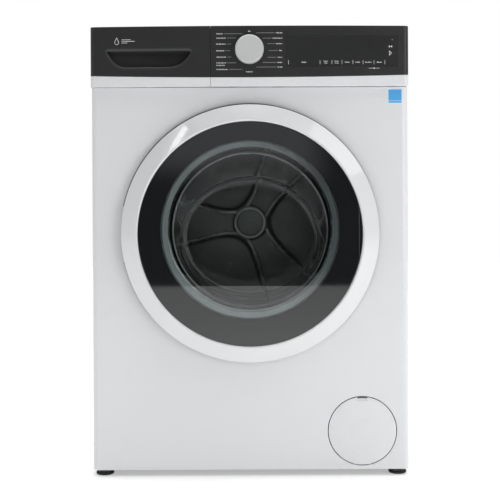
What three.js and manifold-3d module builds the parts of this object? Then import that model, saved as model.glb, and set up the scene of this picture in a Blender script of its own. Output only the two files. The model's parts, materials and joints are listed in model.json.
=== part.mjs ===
// Front-loading washing machine, 600 mm class, as an assembly of separate parts.
// Millimetres. +X is to the right and +Y to the back for someone facing the door, +Z is up.
// The origin is on the floor, under the middle of the machine.

import * as THREE from 'three';
import { mergeVertices } from 'three/addons/utils/BufferGeometryUtils.js';
import Module from 'manifold-3d';

const wasm = await Module();
wasm.setup();

// ---------------------------------------------------------------- driving dimensions

const WIDTH = 597;
const HEIGHT = 845;
const FRONT = -240; // outer face of the steel front panel
const BACK = 268; // outer face of the rear panel
const FLOOR_GAP = 12; // underside of the cabinet above the floor
const SHEET = 1; // steel sheet of the cabinet
const GAP = 0.3; // between parts that touch
const SIDE = WIDTH / 2;

const FASCIA_BOTTOM = 732;
const FASCIA_BACK = -214;
const FASCIA_PROUD = 12; // how far the fascia ends stand in front of the panel
const FASCIA_BOW = 10; // extra at the middle, where the fascia bulges in plan
const STRIP_TOP = 749; // the white strip under the dark overlay
const OVERLAY = 2;
const WORKTOP = { thickness: 22, front: -225.7, corner: 6, bevel: 1.5 };

const DRAWER = { left: -SIDE, right: -73, back: -237, seam: 0.6, wall: 2.5 };
const TRAY = { left: -286, right: -86, front: -236.7, back: 40, bottom: 750, top: 808, wall: 2.5 };
const HANDLE = { left: -266, right: -110, bottom: 770, top: 798, flatLeft: -234, flatRight: -150,
  back: -241 };
const HOUSING = { left: -291, right: -81, front: -212.2, back: 62, bottom: 744.5, top: 815, wall: 2.5 };

const KNOB = { z: 800, radius: 26.75, face: -280, shaft: 6 };
const WINDOW = { left: 67, right: 277, bottom: 767, top: 826 };

const DRUM_Z = 465; // height of the drum axis
const DOOR_Z = 457.6; // height of the door's outer circle
const DOOR = { radius: 241.5, back: -244.6, shoulder: -256, crown: -277.5, inner: 208.6, wall: 2.5 };
const COVER = { radius: 208, front: -276.5, back: -273.5, gripCut: 202 };
const BOWL = { flange: 165, mouth: 152, end: 118, back: -146, glass: 5 };
const PIN = { x: -229, y: -253.5, radius: 2.5, knuckle: 4.5 }; // door hinge pin
const HOOK = { x: 203, y: -252, bottom: 450, top: 465 };
const OPENING = 172; // radius of the door opening in the front panel

const TUB = { radius: 262, wall: 3, front: -180, back: 172, joint: -12, flange: 270, mouth: 163 };
const HUB = { outer: 48, inner: 36, front: 150, back: 205 };
const DRUM = { radius: 240, sheet: 1, front: -160, back: 130, mouth: 158 };
const SHAFT = { journal: 17.3, spigot: 12, seat: 11 };
const PULLEY = { radius: 140, front: 214, back: 228 };
const MOTOR = { z: 120, radius: 60, front: 30, back: 180, pulley: 10 };
const BELT = { gap: 0.8, thickness: 4, front: 215, back: 227 };

const FOOT = { x: 278, front: -218, back: 240, pad: 17, stud: 5 };
const BASE = { top: 52, wall: 2, side: SIDE - SHEET - GAP, corner: 12 };
const DAMPER = { footX: 200, footZ: 40, headX: 140, headZ: 228, y: 20, pin: 4, eye: 9, halfEye: 10 };
const SPRING = { x: 262, y: 100, bottom: 634, top: 790, radius: 10, wire: 1.8, turns: 6 };
const FILTER = { x: 209.7, z: 84, cover: 63.8, opening: 65.2, hingeZ: 24 };

const LATHE = 32; // facets round the large turned parts
const FINE = 40; // facets round the door

// ---------------------------------------------------------------- solids

function toSolid(geometry) {
  const bare = geometry.clone();
  bare.deleteAttribute('normal');
  bare.deleteAttribute('uv');
  const merged = mergeVertices(bare, 1e-3);
  const corners = merged.index.array;
  const kept = [];
  for (let i = 0; i < corners.length; i += 3) {
    const [a, b, c] = corners.slice(i, i + 3);
    if (a !== b && b !== c && c !== a) kept.push(a, b, c);
  }
  const vertProperties = new Float32Array(merged.attributes.position.array);
  return new wasm.Manifold(new wasm.Mesh({ numProp: 3, vertProperties, triVerts: new Uint32Array(kept) }));
}

function toGeometry(solid) {
  const mesh = solid.getMesh();
  const geometry = new THREE.BufferGeometry();
  geometry.setAttribute('position', new THREE.BufferAttribute(mesh.vertProperties, 3));
  geometry.setIndex(new THREE.BufferAttribute(mesh.triVerts, 1));
  geometry.computeVertexNormals();
  return geometry;
}

// A base with other pieces joined on, and then with pieces cut away.
function build(base, joins, cuts) {
  let solid = toSolid(base);
  for (const piece of joins) solid = solid.add(toSolid(piece));
  for (const piece of cuts) solid = solid.subtract(toSolid(piece));
  return toGeometry(solid);
}

function box(x0, x1, y0, y1, z0, z1) {
  const geometry = new THREE.BoxGeometry(x1 - x0, y1 - y0, z1 - z0);
  return geometry.translate((x0 + x1) / 2, (y0 + y1) / 2, (z0 + z1) / 2);
}

function extrudeZ(shape, z0, z1, curveSegments = 6) {
  const geometry = new THREE.ExtrudeGeometry(shape, { depth: z1 - z0, bevelEnabled: false, curveSegments });
  return geometry.translate(0, 0, z0);
}

// The shape is drawn in X and Z.
function extrudeY(shape, y0, y1, curveSegments = 6) {
  const geometry = new THREE.ExtrudeGeometry(shape, { depth: y1 - y0, bevelEnabled: false, curveSegments });
  return geometry.rotateX(Math.PI / 2).translate(0, y1, 0);
}

// The shape is drawn in Y and Z.
function extrudeX(shape, x0, x1) {
  const geometry = new THREE.ExtrudeGeometry(shape, { depth: x1 - x0, bevelEnabled: false });
  const turn = new THREE.Matrix4();
  turn.makeBasis(new THREE.Vector3(0, 1, 0), new THREE.Vector3(0, 0, 1), new THREE.Vector3(1, 0, 0));
  return geometry.applyMatrix4(turn).translate(x0, 0, 0);
}

// A turned solid about an axis along Y. The profile is a list of [radius, y], and it closes
// on itself unless it starts and ends on the axis.
function latheY(profile, segments, x = 0, z = 0) {
  const points = profile.map(([r, y]) => new THREE.Vector2(r, y));
  const open = profile[0][0] === 0 && profile[profile.length - 1][0] === 0;
  if (!open) points.push(points[0].clone());
  if (THREE.ShapeUtils.area(points) < 0) points.reverse();
  return new THREE.LatheGeometry(points, segments).translate(x, 0, z);
}

function ringY(inner, outer, y0, y1, segments, x = 0, z = 0) {
  return latheY([[inner, y0], [outer, y0], [outer, y1], [inner, y1]], segments, x, z);
}

function rodY(radius, y0, y1, segments, x, z) {
  return new THREE.CylinderGeometry(radius, radius, y1 - y0, segments).translate(x, (y0 + y1) / 2, z);
}

function circle(radius, x = 0, z = 0) {
  const shape = new THREE.Shape();
  shape.absarc(x, z, radius, 0, 2 * Math.PI, false);
  return shape;
}

function roundedRectangle(x0, x1, z0, z1, r) {
  const shape = new THREE.Shape();
  shape.moveTo(x0 + r, z0);
  shape.lineTo(x1 - r, z0);
  shape.absarc(x1 - r, z0 + r, r, -Math.PI / 2, 0, false);
  shape.absarc(x1 - r, z1 - r, r, 0, Math.PI / 2, false);
  shape.absarc(x0 + r, z1 - r, r, Math.PI / 2, Math.PI, false);
  shape.absarc(x0 + r, z0 + r, r, Math.PI, 1.5 * Math.PI, false);
  return shape;
}

function polygon(points) {
  return new THREE.Shape(points.map(([u, v]) => new THREE.Vector2(u, v)));
}

function annularSector(inner, outer, from, to, z) {
  const shape = new THREE.Shape();
  shape.absarc(0, z, outer, from, to, false);
  shape.absarc(0, z, inner, to, from, true);
  return shape;
}

// A round bar along a smooth curve.
function bar(points, radius, sides, steps) {
  const path = new THREE.CatmullRomCurve3(points.map(([x, y, z]) => new THREE.Vector3(x, y, z)));
  const section = circle(radius);
  return new THREE.ExtrudeGeometry(section, { extrudePath: path, steps, curveSegments: sides / 2 });
}

// ---------------------------------------------------------------- finishes

const FINISH = {
  whitePaint: { color: 0xdfe0e3, roughness: 0.35, metalness: 0 },
  whitePlastic: { color: 0xe4e5e6, roughness: 0.3, metalness: 0 },
  whiteGloss: { color: 0xeeeeee, roughness: 0.12, metalness: 0 },
  charcoal: { color: 0x353535, roughness: 0.45, metalness: 0 },
  blackGloss: { color: 0x141516, roughness: 0.06, metalness: 0 },
  smokedWindow: { color: 0x2a2c2d, roughness: 0.15, metalness: 0 },
  silverPlastic: { color: 0xc4c4c3, roughness: 0.32, metalness: 0.2 },
  glass: { color: 0xbfc8c8, roughness: 0.04, metalness: 0 },
  steel: { color: 0xb9bbbd, roughness: 0.28, metalness: 1 },
  zinc: { color: 0x9da1a4, roughness: 0.42, metalness: 0.9 },
  castAluminium: { color: 0xa9abad, roughness: 0.5, metalness: 0.9 },
  greyRubber: { color: 0x8b8d8e, roughness: 0.75, metalness: 0 },
  blackRubber: { color: 0x1d1d1e, roughness: 0.8, metalness: 0 },
  greyPlastic: { color: 0xb5b7b8, roughness: 0.55, metalness: 0 },
  darkPlastic: { color: 0x2b2c2e, roughness: 0.55, metalness: 0 },
  concrete: { color: 0x8d8b86, roughness: 0.9, metalness: 0 },
  board: { color: 0x1f5b3c, roughness: 0.5, metalness: 0 },
};

const machine = new THREE.Group();
machine.name = 'front_load_washing_machine';

function add(name, geometry, finish, parent = machine) {
  const mesh = new THREE.Mesh(geometry, new THREE.MeshStandardMaterial(FINISH[finish]));
  mesh.name = name;
  parent.add(mesh);
  return mesh;
}

// ---------------------------------------------------------------- cabinet sheet metal

const PANEL = { corner: 12, returnBack: -214, top: FASCIA_BOTTOM - GAP, lip: 14 };
const LOCK_SLOT = { left: 192, right: 216, bottom: 445, top: 470 };

// The front sheet wraps round both front edges of the cabinet.
function frontPanelPlan() {
  const { corner, returnBack } = PANEL;
  const centreY = FRONT + corner;
  const shape = new THREE.Shape();
  shape.moveTo(SIDE, returnBack);
  shape.lineTo(SIDE, centreY);
  shape.absarc(SIDE - corner, centreY, corner, 0, -Math.PI / 2, true);
  shape.absarc(corner - SIDE, centreY, corner, -Math.PI / 2, -Math.PI, true);
  shape.lineTo(-SIDE, returnBack);
  shape.lineTo(SHEET - SIDE, returnBack);
  shape.absarc(corner - SIDE, centreY, corner - SHEET, -Math.PI, -Math.PI / 2, false);
  shape.absarc(SIDE - corner, centreY, corner - SHEET, -Math.PI / 2, 0, false);
  shape.lineTo(SIDE - SHEET, returnBack);
  return shape;
}

const panelSheet = extrudeZ(frontPanelPlan(), FLOOR_GAP, PANEL.top, 5);
const panelLip = ringY(OPENING - SHEET, OPENING + SHEET, FRONT, FRONT + PANEL.lip, FINE, 0, DRUM_Z);
const panelCuts = [
  rodY(OPENING - SHEET, FRONT - 5, FRONT + PANEL.lip + 5, FINE, 0, DRUM_Z),
  rodY(FILTER.opening, FRONT - 5, FRONT + 5, 40, FILTER.x, FILTER.z),
  box(LOCK_SLOT.left, LOCK_SLOT.right, FRONT - 5, FRONT + 5, LOCK_SLOT.bottom, LOCK_SLOT.top),
];
add('front_panel', build(panelSheet, [panelLip], panelCuts), 'whitePaint');

// Each side is a flat sheet with a folded edge at the front and at the back, and a hanger
// for a suspension spring near the top.
const SIDE_PANEL = { front: -213.5, back: 266.7, top: 822.5, fold: 10, foldBottom: 56 };
const HANGER = { inner: 248, halfDepth: 8, bottom: 793, thickness: 4 };

function sidePanel(hand) {
  const across = (a, b) => [Math.min(hand * a, hand * b), Math.max(hand * a, hand * b)];
  const { front, back, top, fold, foldBottom } = SIDE_PANEL;
  const sheet = box(...across(SIDE - SHEET, SIDE), front, back, FLOOR_GAP, top);
  const folded = across(SIDE - SHEET - fold, SIDE - SHEET / 2);
  const hanger = box(
    ...across(HANGER.inner, SIDE - SHEET / 2),
    SPRING.y - HANGER.halfDepth, SPRING.y + HANGER.halfDepth,
    HANGER.bottom, HANGER.bottom + HANGER.thickness,
  );
  const folds = [
    box(...folded, front, front + SHEET, foldBottom, top),
    box(...folded, back - SHEET, back, foldBottom, top),
  ];
  return build(sheet, [...folds, hanger], []);
}

add('side_panel_left', sidePanel(-1), 'whitePaint');
add('side_panel_right', sidePanel(1), 'whitePaint');

const REAR = { bottom: FLOOR_GAP + GAP, top: 822.5 };
const SERVICE = { halfWidth: 150, bottom: 60, top: 640, corner: 60, rim: 15, height: 8 };
const INLET = { x: -230, z: 780, thread: 13, bore: 8 };
const GLAND = { x: 210, z: 742, body: 9, bore: 4, flange: 14 };

const rearSheet = box(GAP - SIDE, SIDE - GAP, BACK - SHEET, BACK, REAR.bottom, REAR.top);
const serviceHole = roundedRectangle(
  -SERVICE.halfWidth, SERVICE.halfWidth, SERVICE.bottom, SERVICE.top, SERVICE.corner,
);
const rearCuts = [
  extrudeY(serviceHole, BACK - 5, BACK + 5, 3),
  rodY(INLET.thread + 1, BACK - 5, BACK + 5, 24, INLET.x, INLET.z),
  rodY(GLAND.body + 1, BACK - 5, BACK + 5, 20, GLAND.x, GLAND.z),
];
add('rear_panel', build(rearSheet, [], rearCuts), 'zinc');

// A pressed cover over the service hole: a flat rim round a raised field.
function serviceOutline(grow) {
  const { halfWidth, bottom, top, corner } = SERVICE;
  return roundedRectangle(-halfWidth - grow, halfWidth + grow, bottom - grow, top + grow, corner + grow);
}

const coverFace = BACK + GAP;
const coverRim = extrudeY(serviceOutline(SERVICE.rim), coverFace, coverFace + SHEET, 3);
const coverField = extrudeY(serviceOutline(-SERVICE.rim), coverFace, coverFace + SERVICE.height, 3);
const coverHollow = extrudeY(serviceOutline(-SERVICE.rim - SHEET), coverFace - 1,
  coverFace + SERVICE.height - SHEET, 3);
add('rear_service_cover', build(coverRim, [coverField], [coverHollow]), 'zinc');

const RAIL = { front: -212.2, back: -181, bottom: 816, top: 822, end: 297 };
const railSection = polygon([
  [RAIL.front, RAIL.bottom], [RAIL.front + SHEET, RAIL.bottom],
  [RAIL.front + SHEET, RAIL.top - SHEET], [RAIL.back - SHEET, RAIL.top - SHEET],
  [RAIL.back - SHEET, RAIL.bottom], [RAIL.back, RAIL.bottom],
  [RAIL.back, RAIL.top], [RAIL.front, RAIL.top],
]);
add('top_rail_front', extrudeX(railSection, -RAIL.end, RAIL.end), 'zinc');

function worktop() {
  const { thickness, front, corner, bevel } = WORKTOP;
  const outline = roundedRectangle(bevel - SIDE, SIDE - bevel, front + bevel, BACK - bevel, corner);
  const depth = thickness - 2 * bevel;
  const options = { depth, bevelThickness: bevel, bevelSize: bevel, bevelSegments: 1, curveSegments: 3 };
  return new THREE.ExtrudeGeometry(outline, options).translate(0, 0, HEIGHT - thickness + bevel);
}

add('worktop', worktop(), 'whitePlastic');

// ---------------------------------------------------------------- base and feet

const TRAY_NOTCH = { left: 138, right: 282, bottom: 15 };
const BOSS = { radius: 12, bore: 5.5, top: 40 };
const EAR = { inner: 10.5, outer: 14, half: 9, postTop: 29 };

// Two upright ears with a pin between them, for one end of a damper.
function dampingEars(x, pinZ, low, high) {
  const pieces = [rodY(DAMPER.pin, DAMPER.y - EAR.outer, DAMPER.y + EAR.outer, 12, x, pinZ)];
  for (const hand of [-1, 1]) {
    const ends = [DAMPER.y + hand * EAR.inner, DAMPER.y + hand * EAR.outer].sort((a, b) => a - b);
    pieces.push(box(x - EAR.half, x + EAR.half, ends[0], ends[1], low, high));
  }
  return pieces;
}

function baseTray() {
  const low = FLOOR_GAP + GAP;
  const front = FRONT + SHEET + GAP;
  const back = BACK - SHEET - GAP;
  const { side, wall, top } = BASE;
  const outline = roundedRectangle(-side, side, front, back, BASE.corner);
  const inline = roundedRectangle(wall - side, side - wall, front + wall, back - wall, BASE.corner - wall);
  const hollow = extrudeZ(inline, low + wall, top + 5, 3);
  const bosses = [];
  const bores = [];
  for (const x of [-FOOT.x, FOOT.x]) {
    for (const y of [FOOT.front, FOOT.back]) {
      const post = new THREE.CylinderGeometry(BOSS.radius, BOSS.radius, BOSS.top - low,
        12).rotateX(Math.PI / 2);
      bosses.push(post.translate(x, y, (BOSS.top + low) / 2));
      const bore = new THREE.CylinderGeometry(BOSS.bore, BOSS.bore, BOSS.top, 12).rotateX(Math.PI / 2);
      bores.push(bore.translate(x, y, BOSS.top / 2 + 5));
    }
  }
  const shell = toGeometry(toSolid(extrudeZ(outline, low, top, 3)).subtract(toSolid(hollow)));
  const ears = [-DAMPER.footX, DAMPER.footX].flatMap(
    (x) => dampingEars(x, DAMPER.footZ, EAR.postTop - 1, DAMPER.footZ + EAR.half),
  );
  const earPosts = [-DAMPER.footX, DAMPER.footX].map((x) => box(
    x - EAR.half, x + EAR.half, DAMPER.y - EAR.outer, DAMPER.y + EAR.outer, low, EAR.postTop,
  ));
  const { left, right, bottom } = TRAY_NOTCH;
  const notch = box(left, right, front - 5, front + wall + 1, bottom, top + 5);
  return build(shell, [...bosses, ...earPosts, ...ears], [...bores, notch]);
}

add('base_tray', baseTray(), 'darkPlastic');

function foot() {
  const profile = [
    [0, 0], [FOOT.pad - 2.5, 0], [FOOT.pad, 3], [FOOT.pad, 8], [9, 11.7],
    [FOOT.stud, 11.7], [FOOT.stud, 50], [0, 50],
  ];
  return latheY(profile, 16).rotateX(Math.PI / 2);
}

for (const [side, x] of [['left', -FOOT.x], ['right', FOOT.x]]) {
  for (const [end, y] of [['front', FOOT.front], ['back', FOOT.back]]) {
    add(`foot_${end}_${side}`, foot(), 'blackRubber').position.set(x, y, 0);
  }
}

// ---------------------------------------------------------------- fascia

// The plan of the fascia's front face, bulging forwards at the middle.
function bow(x) {
  return FRONT - FASCIA_PROUD - FASCIA_BOW * (1 - (x / SIDE) ** 2);
}

// A slab between two places across the machine, from behind its bowed face to a flat back.
function bowedSlab(x0, x1, inset, z0, z1, depth, back) {
  const steps = Math.max(2, Math.round((x1 - x0) / 38));
  const across = Array.from({ length: steps + 1 }, (_, i) => x0 + ((x1 - x0) * i) / steps);
  const face = across.map((x) => [x, bow(x) + inset]);
  const rear = depth ? across.map((x) => [x, bow(x) + inset + depth]).reverse() : [[x1, back], [x0, back]];
  return extrudeZ(polygon([...face, ...rear]), z0, z1);
}

const FASCIA_LEFT = DRAWER.right + DRAWER.seam;
const FASCIA_WALL = 2.5;
const FRAME_FRONT = -236;
const overlayBack = OVERLAY + GAP;

function fasciaBody() {
  const top = HEIGHT - GAP;
  const core = bowedSlab(FASCIA_LEFT, SIDE, overlayBack, FASCIA_BOTTOM, top, 0, FASCIA_BACK);
  const strip = bowedSlab(FASCIA_LEFT, SIDE, 0, FASCIA_BOTTOM, STRIP_TOP - GAP, 6, 0);
  const drawerFrame = box(-SIDE, FASCIA_LEFT + 1, FRAME_FRONT, FASCIA_BACK, FASCIA_BOTTOM, top);
  const inner = FASCIA_WALL;
  const hollow = bowedSlab(
    FASCIA_LEFT + inner, SIDE - inner, overlayBack + inner, FASCIA_BOTTOM + inner, top - inner, 0,
      FASCIA_BACK + 1,
  );
  const drawerWay = box(TRAY.left - 2.5, TRAY.right + 2, FRAME_FRONT - 1, FASCIA_BACK + 1,
    TRAY.bottom - 3, TRAY.top + 6);
  const topStep = box(-SIDE - 1, SIDE + 1, WORKTOP.front - GAP, FASCIA_BACK + 1,
    HEIGHT - WORKTOP.thickness - GAP, HEIGHT + 1);
  const knobHole = rodY(KNOB.shaft + 2, -270, -240, 20, 0, KNOB.z);
  const margin = 8;
  const glassWay = box(
    WINDOW.left + margin, WINDOW.right - margin, -270, FASCIA_BACK - 10, WINDOW.bottom + margin,
      WINDOW.top - margin,
  );
  return build(core, [strip, drawerFrame], [hollow, drawerWay, topStep, knobHole, glassWay]);
}

add('fascia_body', fasciaBody(), 'whitePlastic');

const windowCut = box(WINDOW.left - GAP, WINDOW.right + GAP, -270, -240, WINDOW.bottom - GAP,
  WINDOW.top + GAP);
const overlaySkin = bowedSlab(FASCIA_LEFT, SIDE, 0, STRIP_TOP, HEIGHT, OVERLAY, 0);
const knobWay = rodY(KNOB.shaft + 2, -270, -240, 20, 0, KNOB.z);
add('fascia_overlay', build(overlaySkin, [], [windowCut, knobWay]), 'charcoal');
add(
  'display_window',
  bowedSlab(WINDOW.left, WINDOW.right, 0.2, WINDOW.bottom, WINDOW.top, OVERLAY - 0.2, 0),
  'smokedWindow',
);

const KNOB_BACK = -262.6;
const knobProfile = [
  [0, KNOB.face], [KNOB.radius - 3, KNOB.face], [KNOB.radius - 1, KNOB.face + 1.2], [KNOB.radius,
    KNOB.face + 4],
  [KNOB.radius, KNOB_BACK], [KNOB.shaft, KNOB_BACK], [KNOB.shaft, -250.4], [0, -250.4],
];
add('program_knob', latheY(knobProfile, 28, 0, KNOB.z), 'silverPlastic');

// The circuit board stands behind the fascia, with the knob's encoder on its face.
const BOARD = { left: -60, right: 270, bottom: 752, top: 832, front: -232, thickness: 1.6 };
const encoder = box(-10, 10, -250, BOARD.front + 1, KNOB.z - 10, KNOB.z + 10);
const boardSheet = box(
  BOARD.left, BOARD.right, BOARD.front, BOARD.front + BOARD.thickness, BOARD.bottom, BOARD.top,
);
const displayModule = box(WINDOW.left + 12, WINDOW.right - 12, -246, BOARD.front + 1,
  WINDOW.bottom + 12, WINDOW.top - 12);
add('control_board', build(boardSheet, [encoder, displayModule], []), 'board');

// ---------------------------------------------------------------- detergent drawer

// The pull is a boat-shaped opening, straight along its top.
function handleShape() {
  const { left, right, bottom, top, flatLeft, flatRight } = HANDLE;
  const shape = new THREE.Shape();
  shape.moveTo(left, top);
  shape.quadraticCurveTo(left + 12, bottom + 2, flatLeft, bottom);
  shape.lineTo(flatRight, bottom);
  shape.quadraticCurveTo(right - 12, bottom + 2, right, top);
  return shape;
}

function drawerFront() {
  const { left, right, back, wall } = DRAWER;
  const top = HEIGHT - GAP;
  const core = bowedSlab(left, right, overlayBack, FASCIA_BOTTOM, top, 0, back);
  const strip = bowedSlab(left, right, 0, FASCIA_BOTTOM, STRIP_TOP - GAP, 6, 0);
  const hollow = bowedSlab(
    left + wall, right - wall, overlayBack + wall, FASCIA_BOTTOM + wall, top - wall, 0, back + 1,
  );
  const shell = toGeometry(toSolid(core).add(toSolid(strip)).subtract(toSolid(hollow)));
  const cup = bowedSlab(
    HANDLE.left - wall, HANDLE.right + wall, overlayBack + 1, HANDLE.bottom - wall, HANDLE.top + 10, 0,
      back - 1,
  );
  const mouth = extrudeY(handleShape(), -270, HANDLE.back - 5, 8);
  const pocket = box(HANDLE.left + 8, HANDLE.right - 8, -250, HANDLE.back, HANDLE.bottom + 1,
    HANDLE.top + 8);
  return build(shell, [cup], [mouth, pocket]);
}

add('drawer_front', drawerFront(), 'whitePlastic');

const drawerSkin = bowedSlab(DRAWER.left, DRAWER.right, 0, STRIP_TOP, HEIGHT, OVERLAY, 0);
add('drawer_overlay', build(drawerSkin, [], [extrudeY(handleShape(), -270, -240, 8)]), 'charcoal');

// Three compartments side by side: prewash, softener and main wash.
function drawerTray() {
  const { left, right, front, back, bottom, top, wall } = TRAY;
  const widths = [0.3, 0.26, 0.44];
  const usable = right - left - wall * (widths.length + 1);
  const pockets = [];
  let x = left + wall;
  for (const share of widths) {
    const end = x + usable * share;
    pockets.push(box(x, end, front + wall, back - wall, bottom + wall, top + 5));
    x = end + wall;
  }
  return build(box(left, right, front, back, bottom, top), [], pockets);
}

add('drawer_tray', drawerTray(), 'greyPlastic');

// The housing is open at the front, and its floor has an outlet over the hose to the tub.
function drawerHousing() {
  const { left, right, front, back, bottom, top, wall } = HOUSING;
  const inside = box(left + wall, right - wall, front - 1, back - wall, bottom + wall, top - wall);
  const outlet = new THREE.CylinderGeometry(10, 10, 10, 16).rotateX(Math.PI / 2).translate(-150, 40,
    bottom);
  return build(box(left, right, front, back, bottom, top), [], [inside, outlet]);
}

add('drawer_housing', drawerHousing(), 'greyPlastic');

// ---------------------------------------------------------------- water path

function inletValve() {
  const body = box(INLET.x - 24, INLET.x + 24, 205, BACK - SHEET - GAP, INLET.z - 20, INLET.z + 20);
  const thread = rodY(INLET.thread, 255, 280, 24, INLET.x, INLET.z);
  const spout = rodY(7, 180, 210, 16, INLET.x, INLET.z - 8);
  const mouth = rodY(INLET.bore, 240, 281, 20, INLET.x, INLET.z);
  return build(body, [thread, spout], [mouth]);
}

add('inlet_valve', inletValve(), 'greyPlastic');

const glandProfile = [
  [GLAND.bore, 261], [GLAND.body, 261], [GLAND.body, BACK + GAP], [GLAND.flange, BACK + GAP],
  [GLAND.flange, 271.5], [GLAND.body, 271.5], [GLAND.body - 2, 279.5], [GLAND.bore, 279.5],
];
add('mains_gland', latheY(glandProfile, 20, GLAND.x, GLAND.z), 'darkPlastic');

// A point at a given angle from straight up, at a radius from the drum axis.
function aroundDrum(radius, degrees, y) {
  const angle = THREE.MathUtils.degToRad(degrees);
  return [radius * Math.sin(angle), y, DRUM_Z + radius * Math.cos(angle)];
}

const fillRoute = [
  [-150, 40, HOUSING.bottom - 1], [-150, 40, 734], [-146, 42, 723],
  aroundDrum(274, -28.5, 45), aroundDrum(TUB.radius + 2, -28.5, 45),
];
add('fill_hose', bar(fillRoute, 12, 10, 8), 'greyRubber');

const PUMP = { radius: 40, wall: 3.5, front: -226, back: -100, motor: 28, motorBack: -40 };
const sumpRoute = [
  aroundDrum(TUB.radius + 2, 160, -120), aroundDrum(278, 160, -120), [145, -135, 172],
  [190, -150, 166], [FILTER.x, -155, 145], [FILTER.x, -155, FILTER.z + PUMP.radius + 2],
];
add('sump_hose', bar(sumpRoute, 14, 10, 12), 'blackRubber');

const pumpProfile = [
  [0, PUMP.motorBack], [PUMP.motor, PUMP.motorBack], [PUMP.motor, PUMP.back], [PUMP.radius, PUMP.back],
  [PUMP.radius, PUMP.front], [PUMP.radius - PUMP.wall, PUMP.front],
  [PUMP.radius - PUMP.wall, PUMP.back - PUMP.wall], [0, PUMP.back - PUMP.wall],
];
add('drain_pump', latheY(pumpProfile, 28, FILTER.x, FILTER.z), 'darkPlastic');

// The cap screws into the pump and carries a bar to turn it by.
function filterCap() {
  const plug = PUMP.radius - PUMP.wall - 0.8;
  const profile = [
    [0, -232], [PUMP.radius - 4, -232], [PUMP.radius, -230], [PUMP.radius, PUMP.front - GAP],
    [plug, PUMP.front - GAP], [plug, -200], [0, -200],
  ];
  const grip = box(FILTER.x - 28, FILTER.x + 28, -237.6, -231, FILTER.z - 4, FILTER.z + 4);
  return build(latheY(profile, 28, FILTER.x, FILTER.z), [grip], []);
}

add('filter_cap', filterCap(), 'greyPlastic');

// The round cover tips out on lugs near its lower edge, and has a slot at the top to pry it.
function filterCover() {
  const face = rodY(FILTER.cover, FRONT - 0.5, FRONT + 1.3, 40, FILTER.x, FILTER.z);
  const lugs = [-1, 1].map((hand) => {
    const x = FILTER.x + hand * 13;
    return box(x - 3, x + 3, FRONT + 1, FRONT + 7.5, FILTER.hingeZ - 3, FILTER.hingeZ + 6);
  });
  const slotZ = FILTER.z + FILTER.cover - 6;
  const slot = box(FILTER.x - 10.5, FILTER.x + 10.5, FRONT - 2, FRONT + 0.6, slotZ - 1.3, slotZ + 1.3);
  return build(face, lugs, [slot]);
}

add('filter_cover', filterCover(), 'whitePlastic');

// ---------------------------------------------------------------- door

const ringProfile = [
  [DOOR.radius, DOOR.back], [DOOR.radius, DOOR.shoulder], [DOOR.radius - 3.5, DOOR.shoulder - 3.5],
  [DOOR.inner + 4, DOOR.crown], [DOOR.inner, DOOR.crown + 1.5], [DOOR.inner, -263],
  [DOOR.inner + DOOR.wall, -263], [DOOR.inner + 3.5, DOOR.crown + 3.4],
  [DOOR.radius - 5.5, DOOR.shoulder - 1.8], [DOOR.radius - DOOR.wall, DOOR.shoulder + 1.2],
  [DOOR.radius - DOOR.wall, DOOR.back],
];
// The ring's wall is cut away over the hinge, from the back up to its shoulder.
const NOTCH = { right: -212, halfHeight: 52 };
const hingeWay = box(
  -DOOR.radius - 5, NOTCH.right, DOOR.shoulder - 0.5, DOOR.back + 5, DOOR_Z - NOTCH.halfHeight,
    DOOR_Z + NOTCH.halfHeight,
);
add('door_ring', build(latheY(ringProfile, FINE, 0, DOOR_Z), [], [hingeWay]), 'whiteGloss');

// The black cover is cut back at the right to leave a finger grip beside the ring.
const coverDisc = rodY(COVER.radius, COVER.front, COVER.back, FINE, 0, DOOR_Z);
const gripCut = box(COVER.gripCut, COVER.radius + 5, COVER.front - 1, COVER.back + 1, DOOR_Z - 60,
  DOOR_Z + 60);
add('door_cover', build(coverDisc, [], [gripCut]), 'blackGloss');

const bowlProfile = [
  [0, BOWL.back], [BOWL.end, BOWL.back], [BOWL.end + 12, BOWL.back - 12], [BOWL.mouth - 2, -240],
    [BOWL.mouth, -258],
  [BOWL.flange, -258], [BOWL.flange, -263.5], [BOWL.mouth - BOWL.glass, -263.5],
    [BOWL.mouth - 2 - BOWL.glass, -240],
  [BOWL.end + 8, BOWL.back - 12 - BOWL.glass / 2], [BOWL.end - 2, BOWL.back - BOWL.glass], [0,
    BOWL.back - BOWL.glass],
];
add('door_bowl', latheY(bowlProfile, LATHE, 0, DRUM_Z), 'glass');

// The inner frame clamps the bowl's flange, and carries the hook on a small pin.
function doorFrame() {
  const back = DOOR.back;
  const plateFront = back - 3;
  const collar = latheY([
    [154, back], [175, back], [175, plateFront], [171, plateFront], [171, -272], [168, -272], [168,
      -257.5], [154, -257.5],
  ], LATHE, 0, DRUM_Z);
  const outline = circle(236, 0, DOOR_Z);
  outline.holes.push(circle(173, 0, DRUM_Z));
  const plate = extrudeY(outline, plateFront, back, LATHE / 2);
  const ears = [HOOK.bottom - 4, HOOK.top + 1].map((z) => box(
    HOOK.x - 5, HOOK.x + 5, HOOK.y - 5, back, z, z + 3,
  ));
  const pin = new THREE.CylinderGeometry(1.8, 1.8, HOOK.top - HOOK.bottom + 6, 10).rotateX(Math.PI / 2);
  pin.translate(HOOK.x, HOOK.y, (HOOK.top + HOOK.bottom) / 2);
  const slot = box(HOOK.x - 9, HOOK.x + 11, plateFront - 1, back + 1, HOOK.bottom - 1, HOOK.top + 1);
  const open = toGeometry(toSolid(plate).subtract(toSolid(slot)));
  return build(open, [collar, ...ears, pin], [hingeWay]);
}

add('door_frame', doorFrame(), 'greyPlastic');

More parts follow.
